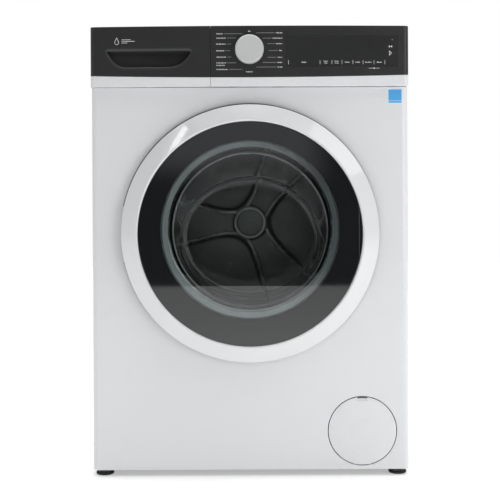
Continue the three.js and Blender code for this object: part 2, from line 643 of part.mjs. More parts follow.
// A sprung hook: an eye round the pin, a shank, and a nose turned outwards.
function doorHook() {
  const nose = new THREE.Shape();
  nose.absarc(HOOK.x, HOOK.y, 4.6, 0, Math.PI, true);
  nose.lineTo(HOOK.x - 3.5, -221);
  nose.lineTo(HOOK.x + 1, -217);
  nose.lineTo(HOOK.x + 7, -224);
  nose.lineTo(HOOK.x + 2, -226);
  nose.lineTo(HOOK.x + 1.5, HOOK.y + 4.4);
  const eye = circle(2.2, HOOK.x, HOOK.y);
  nose.holes.push(eye);
  return extrudeZ(nose, HOOK.bottom, HOOK.top, 6);
}

add('door_hook', doorHook(), 'zinc');

// Hinge: the bracket's two outer knuckles hold the pin, and the leaf's knuckle turns on it.
const BRACKET = { back: FRONT - GAP, front: FRONT - 2.7, left: -221, right: -182, halfHeight: 42 };
const KNUCKLE = { leafHalf: 24, outerStart: 24.5, outerEnd: 38 };

function hingeBracket() {
  const { back, front, left, right, halfHeight } = BRACKET;
  const plate = box(left, right, front, back, DOOR_Z - halfHeight, DOOR_Z + halfHeight);
  const arm = polygon([
    [PIN.x + 1, PIN.y + PIN.knuckle - 0.2], [-219, front + 1], [-213.5, front + 1],
      [PIN.x + PIN.knuckle, PIN.y],
  ]);
  const pieces = [];
  for (const hand of [-1, 1]) {
    const z = [DOOR_Z + hand * KNUCKLE.outerStart, DOOR_Z + hand * KNUCKLE.outerEnd].sort((a, b) => a - b);
    pieces.push(extrudeZ(arm, z[0], z[1]));
    const knuckle = new THREE.CylinderGeometry(PIN.knuckle, PIN.knuckle, z[1] - z[0],
      20).rotateX(Math.PI / 2);
    pieces.push(knuckle.translate(PIN.x, PIN.y, (z[0] + z[1]) / 2));
  }
  const pin = new THREE.CylinderGeometry(PIN.radius, PIN.radius, 2 * KNUCKLE.outerEnd,
    16).rotateX(Math.PI / 2);
  pieces.push(pin.translate(PIN.x, PIN.y, DOOR_Z));
  return build(plate, pieces, []);
}

add('hinge_bracket', hingeBracket(), 'zinc');

function hingeLeaf() {
  const low = DOOR_Z - KNUCKLE.leafHalf;
  const high = DOOR_Z + KNUCKLE.leafHalf;
  const knuckle = new THREE.CylinderGeometry(PIN.knuckle, PIN.knuckle, high - low, 20).rotateX(Math.PI / 2);
  knuckle.translate(PIN.x, PIN.y, DOOR_Z);
  const plate = box(PIN.x + 3.4, -178, DOOR.back - 5.8, DOOR.back - 3.3, low, high);
  const web = box(PIN.x + 3, PIN.x + 7, PIN.y - 2, DOOR.back - 3.3, low, high);
  const bore = new THREE.CylinderGeometry(PIN.radius + 0.4, PIN.radius + 0.4, 2 * high,
    16).rotateX(Math.PI / 2);
  bore.translate(PIN.x, PIN.y, DOOR_Z);
  return build(knuckle, [plate, web], [bore]);
}

add('hinge_leaf', hingeLeaf(), 'zinc');

const lockBody = box(186, 222, FRONT + SHEET + GAP, -213, 430, 485);
const lockSlot = box(194, 214, FRONT, -215, LOCK_SLOT.bottom + 2, LOCK_SLOT.top - 2);
add('door_lock', build(lockBody, [], [lockSlot]), 'darkPlastic');

// The bellows seal joins the panel's lip to the tub's mouth.
const gasketProfile = [
  [158, -241], [170, -241], [170, -222], [163, -214], [170, -202], [170, -184],
  [166.6, -184], [166.6, -200], [157, -214], [166, -224], [166, -236], [158, -237],
];
add('door_gasket', latheY(gasketProfile, LATHE, 0, DRUM_Z), 'greyRubber');

// ---------------------------------------------------------------- tub

const tubInner = TUB.radius - TUB.wall;
const flangeDepth = 6;

const tubFrontProfile = [
  [TUB.mouth, -196], [TUB.mouth + 3, -196], [TUB.mouth + 3, TUB.front], [TUB.radius - 7, TUB.front],
  [TUB.radius, TUB.front + 7], [TUB.radius, TUB.joint - flangeDepth], [TUB.flange, TUB.joint - flangeDepth],
  [TUB.flange, TUB.joint - 0.2], [tubInner, TUB.joint - 0.2], [tubInner, TUB.front + 8],
  [tubInner - 5, TUB.front + 3], [TUB.mouth, TUB.front + 3],
];
add('tub_front', latheY(tubFrontProfile, LATHE, 0, DRUM_Z), 'greyPlastic');

// The back half carries the bearing hub, the spring lugs and the damper ears.
function tubRear() {
  const profile = [
    [tubInner, TUB.joint + 0.2], [TUB.flange, TUB.joint + 0.2], [TUB.flange, TUB.joint + flangeDepth],
    [TUB.radius, TUB.joint + flangeDepth], [TUB.radius, TUB.back - 7], [TUB.radius - 7, TUB.back],
    [HUB.outer, TUB.back], [HUB.outer, HUB.back], [HUB.inner, HUB.back], [HUB.inner, HUB.front],
    [HUB.outer, HUB.front], [HUB.outer, TUB.back - 4], [tubInner - 5, TUB.back - 4], [tubInner,
      TUB.back - 9],
  ];
  const shell = latheY(profile, LATHE, 0, DRUM_Z);
  const inside = rodY(TUB.radius - 1, 0, TUB.back - 8, LATHE, 0, DRUM_Z);
  const lugTop = SPRING.bottom - 3;
  const lugs = [-1, 1].map((hand) => box(
    Math.min(hand * 190, hand * 272), Math.max(hand * 190, hand * 272), SPRING.y - 8, SPRING.y + 8,
      lugTop - 10, lugTop,
  ));
  const ears = [-DAMPER.headX, DAMPER.headX].flatMap(
    (x) => dampingEars(x, DAMPER.headZ, DAMPER.headZ - EAR.half, DAMPER.headZ + 40),
  );
  let fittings = toSolid(lugs[0]);
  for (const piece of [lugs[1], ...ears]) fittings = fittings.add(toSolid(piece));
  fittings = fittings.subtract(toSolid(inside));
  return toGeometry(toSolid(shell).add(fittings));
}

add('tub_rear', tubRear(), 'greyPlastic');

const WEIGHT = { inner: 182, outer: 254, front: -208, gapFrom: 65, gapTo: 115 };
const frontWeight = annularSector(
  WEIGHT.inner, WEIGHT.outer, THREE.MathUtils.degToRad(WEIGHT.gapTo),
    THREE.MathUtils.degToRad(WEIGHT.gapFrom + 360), DRUM_Z,
);
add('counterweight_front', extrudeY(frontWeight, WEIGHT.front, TUB.front - 0.4, 14), 'concrete');

// A block seated on the top of the tub, with its underside turned to the tub's radius.
function topWeight() {
  const seat = TUB.radius + 1.2;
  const left = -50;
  const right = 190;
  const shape = new THREE.Shape();
  shape.moveTo(left, 775);
  shape.lineTo(left, DRUM_Z + Math.sqrt(seat ** 2 - left ** 2));
  shape.absarc(0, DRUM_Z, seat, Math.acos(left / seat), Math.acos(right / seat), true);
  shape.lineTo(right, 740);
  shape.lineTo(160, 775);
  return extrudeY(shape, 5, 150, 6);
}

add('counterweight_top', topWeight(), 'concrete');

const heaterTurn = 26;
const heaterZ = DRUM_Z - Math.sqrt(249.5 ** 2 - heaterTurn ** 2);
const heaterRoute = [
  [-heaterTurn, 165, heaterZ], [-heaterTurn, 60, heaterZ], [-heaterTurn, -60, heaterZ], [-heaterTurn,
    -100, heaterZ],
  [-heaterTurn * 0.7, -120, heaterZ], [0, -128, heaterZ], [heaterTurn * 0.7, -120, heaterZ],
  [heaterTurn, -100, heaterZ], [heaterTurn, -60, heaterZ], [heaterTurn, 60, heaterZ], [heaterTurn, 165,
    heaterZ],
];
add('heater', bar(heaterRoute, 4, 6, 24), 'steel');

const bearing = (y0, y1) => ringY(SHAFT.journal + 0.5, HUB.inner - 0.4, y0, y1, 24, 0, DRUM_Z);
add('bearing_front', bearing(HUB.front + 1, HUB.front + 18), 'steel');
add('bearing_rear', bearing(HUB.back - 19, HUB.back - 2), 'steel');

// ---------------------------------------------------------------- drum

function drumShell() {
  const { radius, sheet, front, back, mouth } = DRUM;
  const profile = [
    [0, back], [radius - 10, back], [radius, back - 10], [radius, front + 6], [radius - 10, front - 4],
    [mouth, front], [mouth, front + 8], [mouth + sheet, front + 8], [mouth + sheet, front + sheet],
    [radius - 10.4, front - 4 + sheet], [radius - sheet, front + 6.4], [radius - sheet, back - 10.4],
    [radius - 10.4, back - sheet], [0, back - sheet],
  ];
  return latheY(profile, LATHE, 0, DRUM_Z);
}

add('drum_shell', drumShell(), 'steel');

// A hollow-backed paddle would be moulded; here each lifter is its outer form.
function lifter() {
  const seat = DRUM.radius - DRUM.sheet - 1.8;
  const half = THREE.MathUtils.degToRad(8);
  const foot = [seat * Math.sin(half), seat * Math.cos(half)];
  const shape = new THREE.Shape();
  shape.moveTo(-foot[0], foot[1]);
  shape.quadraticCurveTo(-15, 222, -12, 202);
  shape.quadraticCurveTo(0, 188, 12, 202);
  shape.quadraticCurveTo(15, 222, foot[0], foot[1]);
  shape.absarc(0, 0, seat, Math.PI / 2 - half, Math.PI / 2 + half, false);
  return extrudeY(shape, DRUM.front + 15, DRUM.back - 15, 5);
}

for (let i = 0; i < 3; i += 1) {
  const mesh = add(`drum_lifter_${i + 1}`, lifter(), 'greyPlastic');
  mesh.rotation.y = (i * 2 * Math.PI) / 3;
  mesh.position.z = DRUM_Z;
}

// A cast spider of three arms bolts to the back of the drum and grips the shaft.
function drumSpider() {
  const front = DRUM.back + 0.4;
  const reach = 224;
  const arms = [];
  for (let i = 0; i < 3; i += 1) {
    const shape = polygon([[-24, 0], [24, 0], [16, reach], [-16, reach]]);
    arms.push(extrudeY(shape, front, front + 14).rotateY((i * 2 * Math.PI) / 3 + Math.PI / 3));
  }
  const hub = rodY(34, front, HUB.front - 1, 32, 0, 0);
  const bore = rodY(SHAFT.spigot + 0.3, front + 3, HUB.front + 1, 24, 0, 0);
  return build(hub, arms, [bore]).translate(0, 0, DRUM_Z);
}

add('drum_spider', drumSpider(), 'castAluminium');

const shaftProfile = [
  [0, DRUM.back + 4], [SHAFT.spigot, DRUM.back + 4], [SHAFT.spigot, HUB.front - 0.7], [SHAFT.journal,
    HUB.front - 0.7],
  [SHAFT.journal, HUB.back + 3], [SHAFT.seat, HUB.back + 3], [SHAFT.seat, 238], [0, 238],
];
add('drum_shaft', latheY(shaftProfile, 24, 0, DRUM_Z), 'steel');

function drumPulley() {
  const { radius, front, back } = PULLEY;
  const windows = [rodY(SHAFT.seat + 0.6, front - 1, back + 1, 16, 0, DRUM_Z)];
  const spokes = 6;
  const gap = THREE.MathUtils.degToRad(9);
  for (let i = 0; i < spokes; i += 1) {
    const from = (i * 2 * Math.PI) / spokes + gap;
    const sector = annularSector(30, radius - 14, from, from + (2 * Math.PI) / spokes - 2 * gap, DRUM_Z);
    windows.push(extrudeY(sector, front - 1, back + 1, 3));
  }
  return build(rodY(radius, front, back, 40, 0, DRUM_Z), [], windows);
}

add('drum_pulley', drumPulley(), 'castAluminium');

// ---------------------------------------------------------------- drive

function motorBody() {
  const { radius, front, back, z } = MOTOR;
  const profile = [
    [7, back], [radius - 6, back], [radius, back - 6], [radius, front], [radius - 9, front],
    [radius - 9, back - 12], [7, back - 12],
  ];
  const brackets = [front + 15, back - 35].map((y) => box(-38, 38, y, y + 14, z + radius - 25,
    DRUM_Z - 190));
  const tubClearance = latheY([
    [0, -200], [TUB.radius + 0.4, -200], [TUB.radius + 0.4, TUB.back + 5], [0, TUB.back + 5],
  ], LATHE, 0, DRUM_Z);
  const open = toSolid(latheY(profile, 32, 0, z));
  let metal = toSolid(brackets[0]).add(toSolid(brackets[1]));
  metal = metal.subtract(toSolid(tubClearance)).subtract(toSolid(rodY(radius - 1, front - 1, back + 1,
    32, 0, z)));
  return toGeometry(open.add(metal));
}

add('motor_body', motorBody(), 'zinc');

const motorPulleyProfile = [
  [0, 160], [5.5, 160], [5.5, PULLEY.front], [MOTOR.pulley, PULLEY.front], [MOTOR.pulley, PULLEY.back],
    [0, PULLEY.back],
];
add('motor_pulley', latheY(motorPulleyProfile, 24, 0, MOTOR.z), 'steel');

// The belt's outline is two arcs and their common tangents.
function beltOutline(extra) {
  const large = PULLEY.radius + BELT.gap + extra;
  const small = MOTOR.pulley + BELT.gap + extra;
  const lean = Math.asin((large - small) / (DRUM_Z - MOTOR.z));
  const shape = new THREE.Shape();
  shape.absarc(0, DRUM_Z, large, -lean, Math.PI + lean, false);
  shape.absarc(0, MOTOR.z, small, Math.PI + lean, 2 * Math.PI - lean, false);
  return shape;
}

const beltLoop = beltOutline(BELT.thickness);
beltLoop.holes.push(beltOutline(0));
add('drive_belt', extrudeY(beltLoop, BELT.front, BELT.back, 12), 'blackRubber');

// ---------------------------------------------------------------- suspension

function coil() {
  const { radius, wire, turns, bottom, top } = SPRING;
  const perTurn = 6;
  const steps = turns * perTurn;
  const rise = top - bottom - 2 * wire;
  const points = Array.from({ length: steps + 1 }, (_, i) => {
    const angle = (2 * Math.PI * i) / perTurn;
    return [radius * Math.cos(angle), radius * Math.sin(angle), bottom + wire + (rise * i) / steps];
  });
  return bar(points, wire, 6, steps);
}

add('spring_left', coil(), 'steel').position.set(-SPRING.x, SPRING.y, 0);
add('spring_right', coil(), 'steel').position.set(SPRING.x, SPRING.y, 0);

// Each damper is drawn upright from its lower pin, then leaned towards the tub.
const DAMPER_LENGTH = Math.hypot(DAMPER.footX - DAMPER.headX, DAMPER.headZ - DAMPER.footZ);
const DAMPER_LEAN = Math.atan2(DAMPER.footX - DAMPER.headX, DAMPER.headZ - DAMPER.footZ);
const BARREL = { radius: 13, bore: 6.2, start: 15, floor: 21, end: 122, neck: 7 };
const ROD = { radius: 5.4, start: 60 };

function uprightLathe(profile, segments) {
  return latheY(profile, segments).rotateX(Math.PI / 2);
}

function eyeAt(z) {
  return rodY(DAMPER.eye, -DAMPER.halfEye, DAMPER.halfEye, 20, 0, z);
}

function eyeBore(z) {
  return rodY(DAMPER.pin + 0.6, -DAMPER.halfEye - 1, DAMPER.halfEye + 1, 16, 0, z);
}

function damperBarrel() {
  const profile = [
    [0, BARREL.start], [BARREL.radius, BARREL.start], [BARREL.radius, BARREL.end], [BARREL.bore,
      BARREL.end],
    [BARREL.bore, BARREL.floor], [0, BARREL.floor],
  ];
  const neck = uprightLathe([[0, 5], [BARREL.neck, 5], [BARREL.neck, BARREL.start + 2], [0,
    BARREL.start + 2]], 16);
  return build(uprightLathe(profile, 20), [neck, eyeAt(0)], [eyeBore(0)]);
}

function damperRod() {
  const top = DAMPER_LENGTH;
  const rod = uprightLathe([[0, ROD.start], [ROD.radius, ROD.start], [ROD.radius, top - 5], [0,
    top - 5]], 16);
  return build(rod, [eyeAt(top)], [eyeBore(top)]);
}

for (const [side, hand] of [['left', -1], ['right', 1]]) {
  const lean = new THREE.Group();
  lean.position.set(hand * DAMPER.footX, DAMPER.y, DAMPER.footZ);
  lean.rotation.y = -hand * DAMPER_LEAN;
  machine.add(lean);
  add(`damper_cylinder_${side}`, damperBarrel(), 'darkPlastic', lean);
  add(`damper_rod_${side}`, damperRod(), 'steel', lean);
}

export default machine;
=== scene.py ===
"""Front-loading washing machine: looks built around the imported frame. Metres, +Z up, +Y to the back."""

import json
import math

import bmesh
import bpy
import numpy as np
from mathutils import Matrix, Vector


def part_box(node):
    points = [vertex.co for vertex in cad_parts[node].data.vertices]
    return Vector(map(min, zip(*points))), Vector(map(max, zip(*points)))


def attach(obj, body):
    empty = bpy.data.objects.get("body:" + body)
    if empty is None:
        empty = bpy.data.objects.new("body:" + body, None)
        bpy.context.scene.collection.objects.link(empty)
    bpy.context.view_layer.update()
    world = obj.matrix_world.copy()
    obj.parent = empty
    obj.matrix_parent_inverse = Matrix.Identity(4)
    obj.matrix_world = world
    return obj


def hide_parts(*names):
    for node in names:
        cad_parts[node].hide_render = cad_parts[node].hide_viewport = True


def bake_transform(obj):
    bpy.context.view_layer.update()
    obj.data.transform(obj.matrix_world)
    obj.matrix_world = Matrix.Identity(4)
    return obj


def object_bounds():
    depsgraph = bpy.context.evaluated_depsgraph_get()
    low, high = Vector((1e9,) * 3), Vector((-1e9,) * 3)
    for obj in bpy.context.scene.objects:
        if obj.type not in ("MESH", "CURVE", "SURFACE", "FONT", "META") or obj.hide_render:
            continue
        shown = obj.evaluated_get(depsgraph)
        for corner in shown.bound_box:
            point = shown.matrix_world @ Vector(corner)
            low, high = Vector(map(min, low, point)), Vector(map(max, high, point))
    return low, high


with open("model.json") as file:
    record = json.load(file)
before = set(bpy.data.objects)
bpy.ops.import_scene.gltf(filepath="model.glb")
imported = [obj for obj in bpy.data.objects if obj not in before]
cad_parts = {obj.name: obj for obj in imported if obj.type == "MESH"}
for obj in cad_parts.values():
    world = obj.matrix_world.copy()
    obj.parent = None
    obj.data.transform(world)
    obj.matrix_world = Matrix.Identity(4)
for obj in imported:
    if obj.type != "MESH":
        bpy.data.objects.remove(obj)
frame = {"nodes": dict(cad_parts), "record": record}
CAD_BOX = [list(corner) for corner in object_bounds()]
SLOT_OF = {part["node"]: part["material_slot"] for part in frame["record"]["subparts"]}

MM = 0.001
SIDE, _, TOP = CAD_BOX[1]


def edge(node, axis, end):
    """One side of a CAD node's box: axis is 'x', 'y' or 'z', and end is 0 for low and 1 for high."""
    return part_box(node)[end]["xyz".index(axis)]


def middle(node, axis):
    """The middle of a CAD node's box along one axis."""
    return (edge(node, axis, 0) + edge(node, axis, 1)) / 2


# ---------------------------------------------------------------- places taken from the frame

FRONT = edge("front_panel", "y", 0)
PANEL_BOTTOM = edge("front_panel", "z", 0)
PANEL_TOP = edge("front_panel", "z", 1)
FASCIA_BOTTOM = edge("fascia_body", "z", 0)
FASCIA_BACK = edge("fascia_body", "y", 1)
STRIP_TOP = edge("fascia_overlay", "z", 0)
FASCIA_LEFT = edge("fascia_overlay", "x", 0)
DRAWER_RIGHT = edge("drawer_overlay", "x", 1)
WORKTOP_FRONT = edge("worktop", "y", 0)
WORKTOP_BOTTOM = edge("worktop", "z", 0)
DRUM_Z = middle("door_bowl", "z")
DOOR_Z = middle("door_ring", "z")
KNOB_Z = middle("program_knob", "z")
KNOB_FACE = edge("program_knob", "y", 0)
KNOB_RADIUS = edge("program_knob", "x", 1)
FILTER_X = middle("filter_cover", "x")
FILTER_Z = middle("filter_cap", "z")
DOOR_RADIUS = edge("door_ring", "x", 1)
DOOR_BACK = edge("door_ring", "y", 1)
DOOR_CROWN = edge("door_ring", "y", 0)
DRUM_FRONT = edge("drum_shell", "y", 0)
DRUM_BACK = edge("drum_shell", "y", 1)
DRUM_RADIUS = edge("drum_shell", "x", 1)

# sizes that the looks share

SHEET = 1 * MM            # thickness of the cabinet's sheets
FASCIA_PROUD = 12 * MM    # how far the fascia's ends stand in front of the front sheet
FASCIA_BOW = 10 * MM      # how much further its middle stands
END_ROUND = 9 * MM        # rounding of the fascia's two ends
SKIN_ROUND = 0.9 * MM     # rounding of the dark skins' long edges
WALL = 2.2 * MM           # how far the white mouldings lie behind the skins' faces
SAG = 4.4 * MM            # how much lower the dark skin's edge is in the middle than at the ends
OPENING = 171 * MM        # radius of the round hole in the front sheet
BOWL_FLANGE = 165 * MM    # radius of the glass bowl's flange
FORWARDS = (0, -1, 0)


# ---------------------------------------------------------------- mesh making

def bezier(a, b, c, count):
    """Points along a curve from a to c, which b pulls towards itself."""
    return [tuple((1 - t) ** 2 * p + 2 * t * (1 - t) * q + t ** 2 * r for p, q, r in zip(a, b, c))
            for t in np.linspace(0, 1, count)]


def quarter(radius, count):
    """A rounded edge as (inset, rise) pairs, from a full inset at no rise to no inset at a full rise."""
    turns = np.linspace(0, math.pi / 2, count)
    return [(radius * (1 - math.sin(a)), radius * (1 - math.cos(a))) for a in turns]


def scaled(*points):
    """Points given in millimetres."""
    return [tuple(v * MM for v in point) for point in points]


def lying(u, v, w):
    """Lays an outline down in X and Y."""
    return u, v, w


def fillet(points, radius, steps=4, closed=True):
    """The same outline with its corners rounded. radius is one number, or one for each point."""
    count = len(points)
    radii = [radius] * count if np.isscalar(radius) else radius
    out = []
    for i, point in enumerate(points):
        p = np.array(point, float)
        if (not closed and i in (0, count - 1)) or radii[i] <= 0:
            out.append(tuple(p))
            continue
        before, after = np.array(points[i - 1], float), np.array(points[(i + 1) % count], float)
        reach = min(radii[i], 0.45 * np.linalg.norm(p - before), 0.45 * np.linalg.norm(after - p))
        start = p + (before - p) / np.linalg.norm(before - p) * reach
        end = p + (after - p) / np.linalg.norm(after - p) * reach
        out += bezier(start, p, end, steps + 1)
    return out


def rectangle(x0, x1, z0, z1, radius=0.0, steps=5):
    corners = [(x0, z0), (x1, z0), (x1, z1), (x0, z1)]
    return fillet(corners, radius, steps) if radius else corners


def full_turn(count, start=0.0):
    """Evenly spaced angles, once round."""
    return np.arange(count) / count * 2 * math.pi + start


def circle(radius, count, x=0.0, z=0.0, start=0.0):
    return [(x + radius * math.cos(a), z + radius * math.sin(a)) for a in full_turn(count, start)]


def basis(axis):
    """Two directions square to an axis."""
    n = Vector(axis).normalized()
    u = (Vector((0, 0, 1)) if abs(n.z) < 0.9 else Vector((1, 0, 0))).cross(n).normalized()
    return u, n.cross(u), n


class Build:
    """Collects the vertices and faces of one mesh, with a material number for each face."""

    def __init__(self):
        self.verts, self.faces, self.marks = [], [], []

    def add(self, verts, faces, mark=0):
        base = len(self.verts)
        self.verts += [tuple(v) for v in verts]
        self.faces += [tuple(base + i for i in face) for face in faces]
        self.marks += [mark] * len(faces)
        return self

    def box(self, x0, x1, y0, y1, z0, z1, mark=0):
        verts = [(x, y, z) for x in (x0, x1) for y in (y0, y1) for z in (z0, z1)]
        faces = [(0, 1, 3, 2), (4, 6, 7, 5), (0, 4, 5, 1), (2, 3, 7, 6), (0, 2, 6, 4), (1, 5, 7, 3)]
        return self.add(verts, faces, mark)

    def loft(self, loops, mark=0, caps=(False, False), ring=True):
        """Quads between loops with the same number of points."""
        count = len(loops[0])
        verts = [p for loop in loops for p in loop]
        faces = []
        for i in range(len(loops) - 1):
            a, b = i * count, (i + 1) * count
            for j in range(count if ring else count - 1):
                k = (j + 1) % count
                faces.append((a + j, a + k, b + k, b + j))
        if caps[0]:
            faces.append(tuple(range(count)))
        if caps[1]:
            faces.append(tuple(range((len(loops) - 1) * count, len(loops) * count)))
        return self.add(verts, faces, mark)

    def revolve(self, profile, segments, origin=(0, 0, 0), axis=(0, 1, 0), mark=0, closed=None):
        """Turns a profile of (radius, height along the axis). A radius of 0 is a point on the axis."""
        u, v, n = basis(axis)
        start = Vector(origin)
        turns = [2 * math.pi * i / segments for i in range(segments)]
        rings, verts, faces = [], [], []
        for radius, height in ((float(r), float(h)) for r, h in profile):
            if radius < 1e-7:
                rings.append([len(verts)])
                verts.append(start + n * height)
                continue
            rings.append(list(range(len(verts), len(verts) + segments)))
            verts += [start + n * height + radius * (math.cos(a) * u + math.sin(a) * v) for a in turns]
        if closed is None:
            closed = profile[0][0] > 1e-7 and profile[-1][0] > 1e-7
        pairs = list(zip(rings, rings[1:])) + ([(rings[-1], rings[0])] if closed else [])
        for a, b in pairs:
            for j in range(segments):
                k = (j + 1) % segments
                corners = [a[j % len(a)], a[k % len(a)], b[k % len(b)], b[j % len(b)]]
                face = tuple(dict.fromkeys(corners))
                if len(face) > 2:
                    faces.append(face)
        return self.add(verts, faces, mark)

    def extrude(self, outline, y0, y1):
        """A prism whose outline is in X and Z."""
        return self.loft([[(x, y, z) for x, z in outline] for y in (y0, y1)], caps=(True, True))

    def soft_extrude(self, outline, y0, y1, round_by, mark=0, place=None, steps=3):
        """A prism with both its rims rounded. Its anticlockwise outline is in X and Z, or where place puts it."""
        place = place or (lambda u, v, w: (u, w, v))
        points = np.array(outline, float)
        sign = 1 if y1 > y0 else -1
        rim = quarter(round_by, steps + 1)
        levels = [(inset, y0 + sign * rise) for inset, rise in rim]
        levels += [(inset, y1 - sign * rise) for inset, rise in rim[::-1]]
        loops = [[place(u, v, w) for u, v in offset(points, -inset)] for inset, w in levels]
        return self.loft(loops, mark, (True, True))

    def plate(self, outer, holes, y):
        """A flat face in X and Z with holes in it."""
        return self.fill([[(x, y, z) for x, z in outline] for outline in [outer, *holes]], FORWARDS)

    def fill(self, outlines, normal):
        """Triangles between closed outlines that lie in one plane."""
        bm = bmesh.new()
        for outline in outlines:
            ring = [bm.verts.new(point) for point in outline]
            for a, b in zip(ring, ring[1:] + ring[:1]):
                bm.edges.new((a, b))
        bmesh.ops.triangle_fill(bm, use_beauty=True, use_dissolve=False, edges=bm.edges, normal=normal)
        bm.verts.index_update()
        verts = [v.co[:] for v in bm.verts]
        faces = [tuple(v.index for v in f.verts) for f in bm.faces]
        bm.free()
        return self.add(verts, faces)

    def tube(self, points, radius, sides, caps=True, radii=None):
        """A round bar along a list of points, with a frame carried along it."""
        path = [Vector(p) for p in points]
        tangents = [(path[min(i + 1, len(path) - 1)] - path[max(i - 1,
                                                                0)]).normalized() for i in range(len(path))]
        side = tangents[0].orthogonal().normalized()
        turns = [2 * math.pi * j / sides for j in range(sides)]
        loops = []
        for i, (point, tangent) in enumerate(zip(path, tangents)):
            side = (side - tangent * side.dot(tangent)).normalized()
            up = tangent.cross(side)
            r = radii[i] if radii else radius
            loops.append([point + r * (math.cos(a) * side + math.sin(a) * up) for a in turns])
        return self.loft(loops, caps=(caps, caps))

    def piece(self, name, body, materials, replaces=(), slot=None, smooth=35, sheet=0.0, facing=None,
              bevel=0.0, ride=True):
        """Makes the object, gives it its materials and modifiers, and puts it on its body.

        sheet is a thickness: the faces are then one side of a sheet, and facing is the way they look.
        """
        mesh = bpy.data.meshes.new(name)
        mesh.from_pydata(self.verts, [], self.faces)
        for i, face in enumerate(mesh.polygons):
            face.material_index = self.marks[i]
        bm = bmesh.new()
        bm.from_mesh(mesh)
        bmesh.ops.remove_doubles(bm, verts=bm.verts, dist=2e-6)
        bmesh.ops.recalc_face_normals(bm, faces=bm.faces)
        if facing is not None:
            total = sum((f.normal * f.calc_area() for f in bm.faces), Vector())
            if total.dot(Vector(facing)) < 0:
                bmesh.ops.reverse_faces(bm, faces=bm.faces)
        bm.to_mesh(mesh)
        bm.free()
        mesh.polygons.foreach_set("use_smooth", [True] * len(mesh.polygons))
        mesh.set_sharp_from_angle(angle=math.radians(smooth))
        for material in materials if isinstance(materials, (list, tuple)) else [materials]:
            mesh.materials.append(material)
        piece = bpy.data.objects.new(name, mesh)
        bpy.context.scene.collection.objects.link(piece)
        if sheet:
            skin = piece.modifiers.new("sheet", "SOLIDIFY")
            skin.thickness, skin.offset, skin.use_even_offset = sheet, -1, True
            piece.modifiers.new("crease", "EDGE_SPLIT").split_angle = math.radians(smooth)
        if bevel:
            soften(piece, bevel)
        if ride:
            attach(piece, body)
        if replaces:
            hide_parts(*replaces)
        return piece


def soften(piece, width, segments=2):
    """Rounds a piece's sharp edges."""
    rounding = piece.modifiers.new("rounding", "BEVEL")
    rounding.width, rounding.segments = width, segments
    rounding.limit_method, rounding.angle_limit = "ANGLE", math.radians(35)
    rounding.harden_normals = True


def cut(piece, cutter_build):
    """Cuts one solid away from a piece, and leaves the result in the piece's own mesh."""
    cutter = cutter_build.piece(piece.name + "_cutter", None, [], ride=False)
    knife = piece.modifiers.new("cut", "BOOLEAN")
    knife.operation, knife.object, knife.solver = "DIFFERENCE", cutter, "EXACT"
    bpy.context.view_layer.update()
    evaluated = piece.evaluated_get(bpy.context.evaluated_depsgraph_get())
    mesh = bpy.data.meshes.new_from_object(evaluated)
    piece.modifiers.clear()
    piece.data = mesh
    bpy.data.objects.remove(cutter)
    mesh.set_sharp_from_angle(angle=math.radians(35))


# ---------------------------------------------------------------- materials

class Nodes:
    """A node tree, with short calls to add and link nodes."""

    def __init__(self, tree):
        self.tree = tree

    def feed(self, socket, value):
        """Gives an input its number, or links it to another node's output."""
        if isinstance(value, bpy.types.NodeSocket):
            self.tree.links.new(value, socket)
        else:
            socket.default_value = value

    def node(self, kind, inputs=None, **settings):
        node = self.tree.nodes.new(kind)
        for key, value in settings.items():
            setattr(node, key, value)
        for key, value in (inputs or {}).items():
            self.feed(node.inputs[key], value)
        return node

    def math(self, operation, a, b):
        return self.node("ShaderNodeMath", {0: a, 1: b}, operation=operation).outputs[0]

    def spread(self, value, low, high, start=0.3, end=0.7, kind="LINEAR"):
        """A value from start to end, mapped to low to high."""
        inputs = {"Value": value, "From Min": start, "From Max": end, "To Min": low, "To Max": high}
        return self.node("ShaderNodeMapRange", inputs, interpolation_type=kind).outputs["Result"]

    def mix_shaders(self, share, a, b):
        return self.node("ShaderNodeMixShader", {0: share, 1: a, 2: b}).outputs[0]


class Graph(Nodes):
    """A material, with its node tree."""

    def __init__(self, name):
        self.material = bpy.data.materials.new(name)
        self.material.use_nodes = True
        super().__init__(self.material.node_tree)
        self.shader = self.tree.nodes["Principled BSDF"]

    def place(self, stretch=(1, 1, 1)):
        """Object coordinates, stretched along the axes."""
        where = self.node("ShaderNodeTexCoord").outputs["Object"]
        return self.node("ShaderNodeMapping", {"Vector": where, "Scale": stretch}).outputs["Vector"]

    def noise(self, scale, detail=3, stretch=(1, 1, 1), roughness=0.5):
        inputs = {"Vector": self.place(stretch), "Scale": scale, "Detail": detail, "Roughness": roughness}
        return self.node("ShaderNodeTexNoise", inputs).outputs["Fac"]

    def mix(self, share, a, b):
        return self.node("ShaderNodeMix", {0: share, 6: a, 7: b}, data_type="RGBA").outputs[2]

    def bump(self, height, distance, strength=0.5):
        node = self.node("ShaderNodeBump", {"Height": height, "Distance": distance, "Strength": strength})
        self.tree.links.new(node.outputs["Normal"], self.shader.inputs["Normal"])

    def set(self, **sockets):
        """Numbers or links for the shader's inputs, named as in coat_weight."""
        for key, value in sockets.items():
            self.feed(self.shader.inputs[key.replace("_", " ").title().replace("Ior", "IOR")], value)


def shade(color, factor):
    return tuple(min(1.0, c * factor) for c in color[:3]) + (1.0,)


